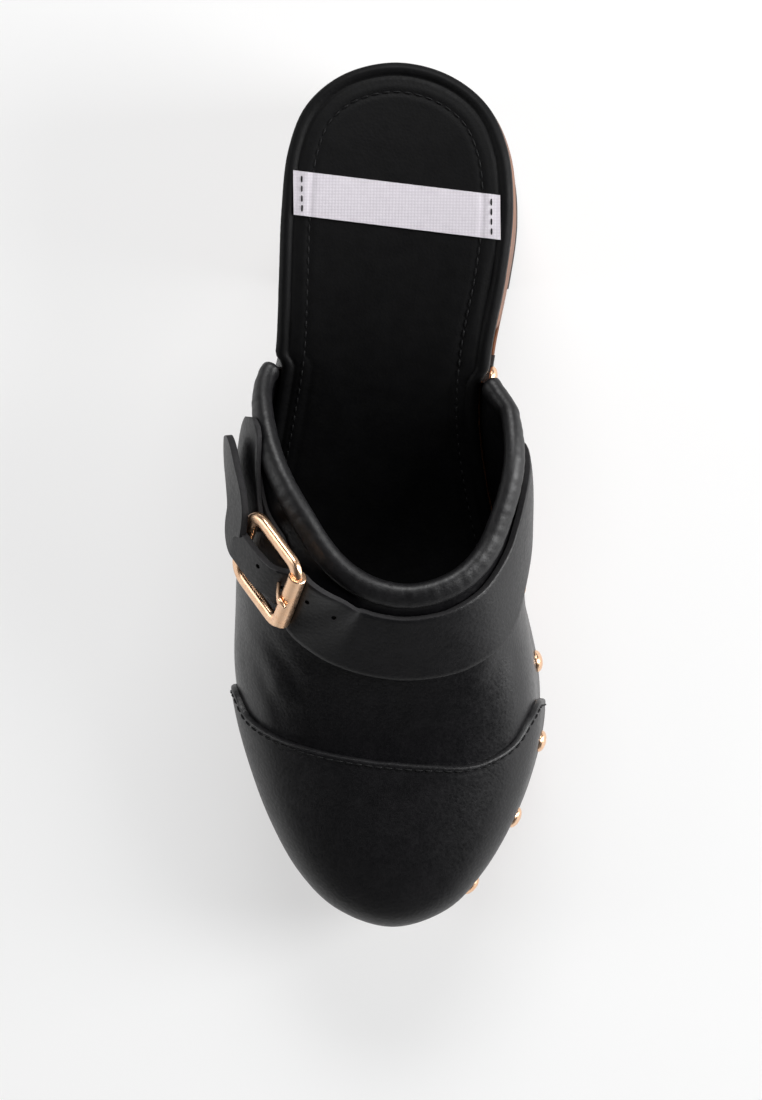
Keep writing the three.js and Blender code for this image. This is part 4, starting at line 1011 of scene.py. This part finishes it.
# Buckle: frame swept along a rounded rectangle, thin where the roller turns on it
def frameRings():
    halfWide = (strapShape["width"] + buckleShape["slack"] + buckleShape["bar"]) / 2
    corner = buckleShape["corner"]
    across, reachX = halfWide - corner, rollerAt - corner
    centres = [(reachX, across), (corner, across), (corner, -across), (reachX, -across)]
    path, bend = [], []
    for quarter, (cx, cy) in enumerate(centres):
        for a in np.linspace(0, math.pi / 2, 12):
            angle = quarter * math.pi / 2 + a
            path.append((cx + corner * math.cos(angle), cy + corner * math.sin(angle)))
            bend.append((math.cos(angle), math.sin(angle)))
        nextX, nextY = centres[(quarter + 1) % 4]
        final = math.pi / 2 * (quarter + 1)
        start = np.array(path[-1])
        end = np.array((nextX + corner * math.cos(final), nextY + corner * math.sin(final)))
        for s in np.linspace(0, 1, 14)[1:-1]:
            path.append(tuple(lerp(start, end, s)))
            bend.append(bend[-1])
    path = np.array(path)
    atPin = (path[:, 0] > rollerAt - 0.4) & (np.abs(path[:, 1]) < rollerLength / 2 + 0.8)
    share = np.where(atPin, buckleShape["pinShare"], 1.0)
    angles = turn(18)
    px = squared(np.cos(angles), 0.7) * buckleShape["bar"] / 2 * buckleShape["frameWide"]
    pz = squared(np.sin(angles), 0.7) * buckleShape["thickness"] / 2 * buckleShape["frameDeep"]
    return np.array([inBuckle(x + bx * px * s, y + by * px * s, pz * s)
                     for (x, y), (bx, by), s in zip(path, bend, share)])


# Rings that close on themselves, with no end faces
def hoop(rings):
    count, around = rings.shape[:2]
    faces = gridFaces(count, around, closed=True).tolist()
    back = (count - 1) * around
    faces += [[back + j, back + (j + 1) % around, (j + 1) % around, j] for j in range(around)]
    return orient(rings.reshape(-1, 3), faces)


makePiece("buckle_frame_gold", hoop(frameRings()), gold, ["buckle_frame"], sharp=55)
# radius, share of the roller's length
rollerProfile = [(1.2, -0.5), (2.35, -0.5), (2.6, -0.488), (2.6, 0.488), (2.35, 0.5), (1.2, 0.5)]
angles = turn(40)
rings = np.array([inBuckle(rollerAt + r * np.cos(angles), s * rollerLength, r * np.sin(angles))
                  for r, s in rollerProfile])
makePiece("buckle_roller_gold", hoop(rings), gold, ["buckle_roller"], sharp=35)
# along from the left bar, height, width
topZ = buckleShape["rollerRadius"] + 0.85
prongRows = np.array([
    (1.6, -0.2, 1.0), (rollerAt - 8.5, -1.1, 1.0), (rollerAt - 6.8, -0.7, 1.0), (rollerAt - 2.6, 2.1, 1.1),
    (rollerAt - 0.6, topZ + 0.1, 1.5), (rollerAt + 0.9, topZ, 1.2), (rollerAt + 2.1, topZ - 0.1, 0.45)])
prongShape = {"halfThick": 0.55, "halfWide": 0.85, "around": 16}
fine = evenly(curveThrough(prongRows), 60)
tangent = unit(np.gradient(fine[:, :2], axis=0))
angles = turn(prongShape["around"])
h = squared(np.sin(angles), 0.8) * prongShape["halfThick"]
w = squared(np.cos(angles), 0.8) * prongShape["halfWide"]
rings = [inBuckle(x - tz * h, w * wide, z + tx * h) for (x, z, wide), (tx, tz) in zip(fine, tangent)]
makePiece("buckle_prong_gold", tube(rings), gold, ["buckle_prong"], sharp=60)
print("buckle made")

# Insole: padded, with a rolled rim and a crease beside it
insoleShape = {
    "thickness": 5.0, "roll": 1.6, "rim": 3.7, "crease": 0.55, "stitchInset": 8.6, "stitchDip": 0.28,
    "pad": 0.45, "dish": 0.7, "run": 0.016, "fill": 0.9,
}
outlineTree = treeOf(np.column_stack([outlineRing, np.zeros(len(outlineRing))]))


def edgeDistance(x, y):
    flat = np.column_stack([x.reshape(-1), y.reshape(-1), np.zeros(x.size)])
    return np.array([outlineTree.find(p)[2] for p in flat]).reshape(x.shape)


def insetBy(at, near, far, lead, span):
    return [lerp(near, far, smooth((at - wingTips[s][0] + lead) / span)) for s in (-1, 1)]


def planGrid(stations, insets, columnShares):
    lefts, rights = sideX(yAt(stations), -1), sideX(yAt(stations), 1)
    end = np.minimum(insets[0], insets[1])
    y = lerp(yAt(0) - end, yAt(1) + end, stations)
    most = (rights - lefts) / 8
    a, b = lefts + np.minimum(insets[0], most), rights - np.minimum(insets[1], most)
    x = a[:, None] + (b - a)[:, None] * columnShares[None, :]
    return x, np.broadcast_to(y[:, None], x.shape)


stations, shares = eased(260), eased(110)
insets = insetBy(stations, 0.2, 2.6, insoleShape["run"], insoleShape["run"])
x, y = planGrid(stations, insets, shares)
insetHere = lerp(insets[0][:, None], insets[1][:, None], (shares > 0.5)[None, :])
depth = np.maximum(edgeDistance(x, y) - insetHere, 0)
depth[:, [0, -1]] = 0
depth[[0, -1], :] = 0


def bell(distance, wide):
    return np.exp(-(distance / wide) ** 2)


def cushion(x, y, depth):
    lefts, rights = sideX(y, -1), sideX(y, 1)
    t = np.clip((2 * x - lefts - rights) / np.maximum(rights - lefts, 1), -1, 1)
    dished = insoleShape["dish"] * (t ** 2 - 1) * smooth(depth / 6)
    pad = insoleShape["pad"] * smooth((depth - insoleShape["rim"]) / 3.5)
    return dished + pad - insoleShape["stitchDip"] * bell(depth - insoleShape["stitchInset"], 0.8)


roll = insoleShape["roll"]
rise = np.where(depth < roll, np.sqrt(np.maximum(roll ** 2 - (roll - depth) ** 2, 0)) - roll, 0)
rise += 0.35 * bell(depth - 1.9, 1.1) - insoleShape["crease"] * bell(depth - insoleShape["rim"], 0.55)
rise += dents(x, y, insoleCreases) * smooth((depth - 1.5) / 2.5)
baseZ = featherZ(y) + last["gap"]
insoleTop = np.stack([x, y, baseZ + insoleShape["thickness"] + cushion(x, y, depth) + rise], axis=-1)
insoleLow = np.stack([x, y, baseZ + 0.05], axis=-1)
insoleBody = closedSheets(insoleTop, insoleLow)
insole = makePiece("insole_pad", insoleBody, sockLeather, ["insole"], sharp=60)


def insoleZ(x, y):
    return featherZ(y) + last["gap"] + insoleShape["thickness"] + cushion(x, y, edgeDistance(x, y))


# Ribbon lying on the insole
labelShape = {"width": 12.5, "thickness": 0.45, "endInset": 3.5, "outerAt": 0.150, "innerAt": 0.180}
along, across = np.linspace(0, 1, 120), np.linspace(1, -1, 17)
y = yAt(lerp(labelShape["outerAt"], labelShape["innerAt"], along))
x = lerp(sideX(y, -1) + labelShape["endInset"], sideX(y, 1) - labelShape["endInset"], along)
lx = np.repeat(x[:, None], len(across), 1)
ly = y[:, None] + across[None, :] * labelShape["width"] / 2
lz = insoleZ(lx, ly) + 0.12
lz += 0.05 * np.sin(along * 40)[:, None] * (np.abs(across) > 0.85)[None, :]
labelLow = np.stack([lx, ly, lz], axis=-1)
labelTop = labelLow + np.array([0, 0, labelShape["thickness"]])
makePiece("label_ribbon", closedSheets(labelTop, labelLow), ribbon, ["label"], sharp=50)
print("insole made")

# Sole: platform and waist, and the block heel
soleShape = {"shelf": 0.35, "shelfGap": 0.8, "taper": 2.6, "columns": 40, "breastHollow": 3.0}


def rebates(at):
    return [lerp(0.35, last["wall"] + last["gap"], smooth((at - wingTips[s][1] + 0.032) / 0.016))
            for s in (-1, 1)]


def layerMesh(ats, topInset, topZ, lowInset, lowZ, edge):
    sheets = []
    for inset, height, drop, pull in ((topInset, topZ, 0, edge), (topInset, topZ, -edge, 0),
                                      (lowInset, lowZ, edge, 0), (lowInset, lowZ, 0, edge)):
        gx, gy = planGrid(ats, [v + pull for v in inset(ats)], eased(soleShape["columns"]))
        sheets.append(np.stack([gx, gy, height(gy) + drop], axis=-1))
    top, upperRim, lowerRim, bottom = sheets
    a, b = (sheet.reshape(-1, 3)[rimOf(*sheet.shape[:2])] for sheet in (upperRim, lowerRim))
    return closedSheets(top, bottom, [a, lerp(a, b, 0.5), b])


def shelfZ(y):
    return featherZ(y) - margin - soleShape["shelfGap"]


def same(inset):
    return lambda at: [np.full_like(at, inset), np.full_like(at, inset)]


soleStations = eased(240)
upperPart = layerMesh(soleStations, rebates, featherZ, rebates, lambda y: shelfZ(y) - 0.5, 0.15)
onShelf, tapered = same(soleShape["shelf"]), same(soleShape["taper"])
lowerPart = layerMesh(soleStations, onShelf, shelfZ, tapered, undersideZ, 0.5)


def heelRing(share, z, inset=0.0):
    breast = float(yAt(heelEnd))
    ys = yAt(heelEnd * (1 - np.cos(np.linspace(0, math.pi / 2, 70)[1:])))
    left, right = (np.column_stack([sideX(ys, s), ys]) for s in (-1, 1))
    t = np.linspace(-1, 1, 25)[1:-1]
    front = np.column_stack([lerp(sideX(breast, -1), sideX(breast, 1), (t + 1) / 2),
                             breast + soleShape["breastHollow"] * (1 - t ** 2)])
    loop = lerp(heelMiddle, np.vstack([left, front, right[::-1]]), 1 - 0.016 - 0.114 * share)
    loop -= unit(loop - heelMiddle) * inset
    return np.column_stack([loop, np.full(len(loop), z)])


heelTop, heelFoot = last["heelSeat"] - margin - 2, last["heelPiece"] + last["gap"]
blockRings = [heelRing(s, lerp(heelTop, heelFoot + 0.5, s)) for s in np.linspace(0, 1, 24)]
blockRings += [heelRing(1, heelFoot + 0.15, 0.2), heelRing(1, heelFoot, 0.6)]
soleBody = joinParts([upperPart, lowerPart, tube(blockRings)])
makePiece("sole_wood", soleBody, wood, ["clog_sole"], sharp=40)

pieceTop = last["heelPiece"]
pieceRings = [heelRing(1, z, inset)
              for z, inset in ((pieceTop, 0.5), (pieceTop - 0.4, 0), (0.5, 0), (0, 0.5))]
makePiece("heel_piece_rubber", tube(pieceRings), rubber, ["heel_top_piece"], sharp=40)
treadBody = layerMesh(
    soleStations[soleStations > 0.5612],
    tapered, lambda y: undersideZ(y) - last["gap"],
    tapered, lambda y: undersideZ(y) - last["gap"] - last["tread"], 0.35)
makePiece("tread_rubber", treadBody, rubber, ["outsole_forepart"], sharp=40)
print("sole made")


# Repeated pieces are set out by one node tree
def repeatTree():
    tree = bpy.data.node_groups.new("repeatAlong", "GeometryNodeTree")
    sockets = [("Points", "Geometry"), ("Unit", "Object"), ("Size", "Float"), ("Vary", "Float"),
               ("Seed", "Int"), ("Finish", "Material")]
    made = {name: tree.interface.new_socket(name, in_out="INPUT", socket_type="NodeSocket" + kind)
            for name, kind in sockets}
    tree.interface.new_socket("Geometry", in_out="OUTPUT", socket_type="NodeSocketGeometry")
    def node(kind, settings=None, values=None):
        new = tree.nodes.new(kind)
        for key, value in (settings or {}).items():
            setattr(new, key, value)
        for key, value in (values or {}).items():
            if isinstance(value, bpy.types.NodeSocket):
                tree.links.new(value, new.inputs[key])
            else:
                new.inputs[key].default_value = value
        return new
    def field(name):
        kind = {"data_type": "FLOAT_VECTOR"}
        return node("GeometryNodeInputNamedAttribute", kind, {"Name": name}).outputs[0]

    given = node("NodeGroupInput")
    upright = node("FunctionNodeAlignRotationToVector", {"axis": "Z"}, {"Vector": field("facing")})
    heading = node("FunctionNodeAlignRotationToVector", {"axis": "X", "pivot_axis": "Z"},
                   {"Rotation": upright.outputs[0], "Vector": field("running")})
    vary = node("FunctionNodeRandomValue", {"data_type": "FLOAT"}, {"Seed": given.outputs["Seed"]})
    spread = node("ShaderNodeMath", {"operation": "MULTIPLY_ADD"},
                  {0: vary.outputs[1], 1: given.outputs["Vary"], 2: 1.0})
    size = node("ShaderNodeMath", {"operation": "MULTIPLY"}, {0: spread.outputs[0], 1: given.outputs["Size"]})
    unitInfo = node("GeometryNodeObjectInfo", {}, {"Object": given.outputs["Unit"]})
    setOut = node("GeometryNodeInstanceOnPoints", {}, {
        "Points": given.outputs["Points"], "Instance": unitInfo.outputs["Geometry"],
        "Rotation": heading.outputs[0], "Scale": size.outputs[0]})
    real = node("GeometryNodeRealizeInstances", {}, {0: setOut.outputs[0]})
    finish = node("GeometryNodeSetMaterial", {}, {
        "Geometry": real.outputs[0], "Material": given.outputs["Finish"]})
    node("NodeGroupOutput", {}, {0: finish.outputs[0]})
    return tree, {name: item.identifier for name, item in made.items()}


repeats, repeatKeys = repeatTree()


def repeat(name, points, facing, running, unitBody, material, vary=0.0, seed=3, nodes=()):
    spots = newMesh(name + "_points", place(points), [], {"facing": facing, "running": running})
    carrier = newObject(name + "_points", spots)
    verts, faces = unitBody
    single = newObject(name + "_unit", newMesh(name + "_unit", np.asarray(verts) / 1000, faces))
    modifier = carrier.modifiers.new("repeat", "NODES")
    modifier.node_group = repeats
    for key, value in (("Unit", single), ("Size", 1.0), ("Vary", vary), ("Seed", seed), ("Finish", material)):
        modifier[repeatKeys[key]] = value
    return settle(name, baked(name, carrier, single), material, nodes, 60)


def stitchUnit(long, thick):
    rings = []
    angles = turn(8)
    for s in np.linspace(-1, 1, 9):
        r = thick / 2 * math.sqrt(max(1 - abs(s) ** 3, 0.02))
        z = thick * 0.45 * (1 - s * s) - thick * 0.25
        rings.append(np.column_stack([np.full(8, s * long / 2), r * np.cos(angles), z + r * np.sin(angles)]))
    return tube(rings)


def stitchRow(name, path, normals, shape, seed):
    run = runAlong(path)
    count = max(int(run[-1] / shape["pitch"]), 2)
    wanted = (np.arange(count) + 0.5) * run[-1] / count
    points, facing, running = (sampled(wanted, run, v) for v in (path, normals, np.gradient(path, axis=0)))
    unitBody = stitchUnit(shape["long"], shape["thick"])
    return repeat(name, points, unit(facing), unit(running), unitBody, blackThread, 0.08, seed)


# Studs
studShape = {"radius": 3.25, "height": 1.9, "spacing": 23.4, "eachSide": 8, "rings": 9, "around": 32}
marginU = np.linspace(0, 1, 2400)
marginQ = lowShare * (margin / 2) / (margin + ribs(marginU)[6])
marginLine = upperPoint(marginU, marginQ)
lengths = runAlong(marginLine)
toeLength = lengths[np.argmin(marginLine[:, 1])]
wanted = toeLength + np.arange(-studShape["eachSide"], studShape["eachSide"] + 1) * studShape["spacing"]
studU = np.interp(wanted, lengths, marginU)
studQ = np.interp(wanted, lengths, marginQ)
studPoint, studNormal = upperPoint(studU, studQ), upperNormal(studU, studQ)
capped = atY(studPoint[:, 1]) > capEdge[1, 0]
onCap = capShape["lift"] + capShape["thickness"] - 0.1
studPoint = studPoint + studNormal * np.where(capped, onCap, 0.02)[:, None]
studRun = upperPoint(studU + 0.002, studQ) - studPoint
lowZ, radius = 0.1, studShape["radius"]
profile = [(radius * 0.96, -0.25), (radius, lowZ)]
profile += [(radius * math.cos(a), lowZ + (studShape["height"] - lowZ) * math.sin(a))
            for a in np.linspace(0.12, math.pi / 2 - 0.04, studShape["rings"])]
angles = turn(studShape["around"])
studUnit = tube([np.column_stack([r * np.cos(angles), r * np.sin(angles), np.full(len(angles), z)])
                 for r, z in profile])
names = ["stud_%02d" % (k + 1) for k in range(len(studPoint))]
repeat("dome_studs", studPoint, studNormal, studRun, studUnit, gold, 0.0, 5, names)
print("studs made")

# Stitches
stitchShapes = {
    "cap": {"pitch": 2.9, "long": 2.3, "thick": 0.55, "fromEdge": 0.022},
    "insole": {"pitch": 3.1, "long": 2.4, "thick": 0.5, "backTo": 0.60},
    "label": {"pitch": 2.4, "long": 2.0, "thick": 0.5},
}
capRowQ = capQ[capQ > 0.06]
leftU, rightU = (lerp(capBack(capRowQ, side), 0.5, stitchShapes["cap"]["fromEdge"]) for side in (-1, 1))
rowU = np.concatenate([leftU, 1 - rightU[::-1][1:]])
rowQ = np.concatenate([capRowQ, capRowQ[::-1][1:]])
normals = upperNormal(rowU, rowQ)
path = upperPoint(rowU, rowQ) + normals * (capShape["lift"] + capShape["thickness"] + 0.05)
stitchRow("cap_stitches", path, normals, stitchShapes["cap"], 11)

chord = outlineRing - np.roll(outlineRing, -3, axis=0)
inward = unit(np.column_stack([-chord[:, 1], chord[:, 0]]))
inward *= np.sign(((outlineRing.mean(axis=0) - outlineRing) * inward).sum(1))[:, None]
line = outlineRing + inward * insoleShape["stitchInset"]
kept = atY(line[:, 1]) < stitchShapes["insole"]["backTo"]
order = np.roll(np.arange(len(line)), -int(np.argmax(~kept)))
line = line[order][kept[order]]
path = np.column_stack([line, insoleZ(line[:, 0], line[:, 1]) + 0.12])
slope = (featherZ(line[:, 1] + 1) - featherZ(line[:, 1] - 1)) / 2
normals = unit(np.column_stack([np.zeros(len(line)), -slope, np.ones(len(line))]))
stitchRow("insole_stitches", path, normals, stitchShapes["insole"], 12)
for name, row, seed in (("label_stitches_outer", 5, 13), ("label_stitches_inner", 114, 14)):
    path = labelTop[row, 1:-1] + np.array([0, 0, 0.02])
    stitchRow(name, path, np.tile([0.0, 0.0, 1.0], (len(path), 1)), stitchShapes["label"], seed)
print("stitches made")

# Floor, light and camera
stageLook = {
    "floor": 0.35, "floorGlow": 0.58, "world": 0.04,
    "right": (13.5, (0.85, 0.02, 0.34), (0.35, 1.1)),
    "left": (2.8, (-0.85, -0.02, 0.30), (0.30, 1.0)),
    "back": (14.0, (0.12, 0.95, 0.95), (0.8, 0.5)),
    "front": (0.2, (0.0, -1.05, 0.40), (0.8, 0.3)),
}
bpy.ops.mesh.primitive_plane_add(size=12, location=(0, 0, -0.0002))
floor = bpy.context.active_object
floor.name = "studio_floor"
floorBoard = Board("floorPaper", {"Specular IOR Level": 0.1, "Roughness": 0.9})
paper = floorBoard.noise(900.0, 3.0, 0.6)
shade = stageLook["floor"]
floorBoard.drive("Base Color", floorBoard.tint(paper, (shade * 0.99,) * 3 + (1,), (shade,) * 3 + (1,)))
floorBoard.drive("Emission Color", (1, 1, 1, 1))
floorBoard.drive("Emission Strength", stageLook["floorGlow"])
floor.data.materials.append(floorBoard.material)

bpy.context.scene.view_settings.view_transform = "Standard"
world = bpy.data.worlds.new("studio")
bpy.context.scene.world = world
world.use_nodes = True
background = world.node_tree.nodes["Background"]
background.inputs[0].default_value = (1, 1, 1, 1)
background.inputs[1].default_value = stageLook["world"]
aim = Vector((0, 0, 0.05))
for key in ("right", "left", "back", "front"):
    power, spot, size = stageLook[key]
    light = bpy.data.lights.new("softbox_" + key, "AREA")
    light.shape, light.size, light.size_y, light.energy = "RECTANGLE", size[0], size[1], power
    lamp = newObject("softbox_" + key, light)
    lamp.location = spot
    lamp.rotation_euler = (aim - Vector(spot)).to_track_quat("-Z", "Y").to_euler()

cameraShape = {"from": (135.0, -15.4, 1600.0), "to": (-2.9, -15.4, 50.0), "lens": 175.0}
camera = newObject("camera", bpy.data.cameras.new("camera"))
eye, target = (Vector(place(cameraShape[key])) for key in ("from", "to"))
forward = (target - eye).normalized()
up = Vector((0, 1, 0))
right = forward.cross(up).normalized()
up = right.cross(forward)
camera.matrix_world = Matrix.Translation(eye) @ Matrix((right, up, -forward)).transposed().to_4x4()
camera.data.lens, camera.data.sensor_width = cameraShape["lens"], 36.0
camera.data.clip_start, camera.data.clip_end = 0.1, 20.0
bpy.context.scene.camera = camera
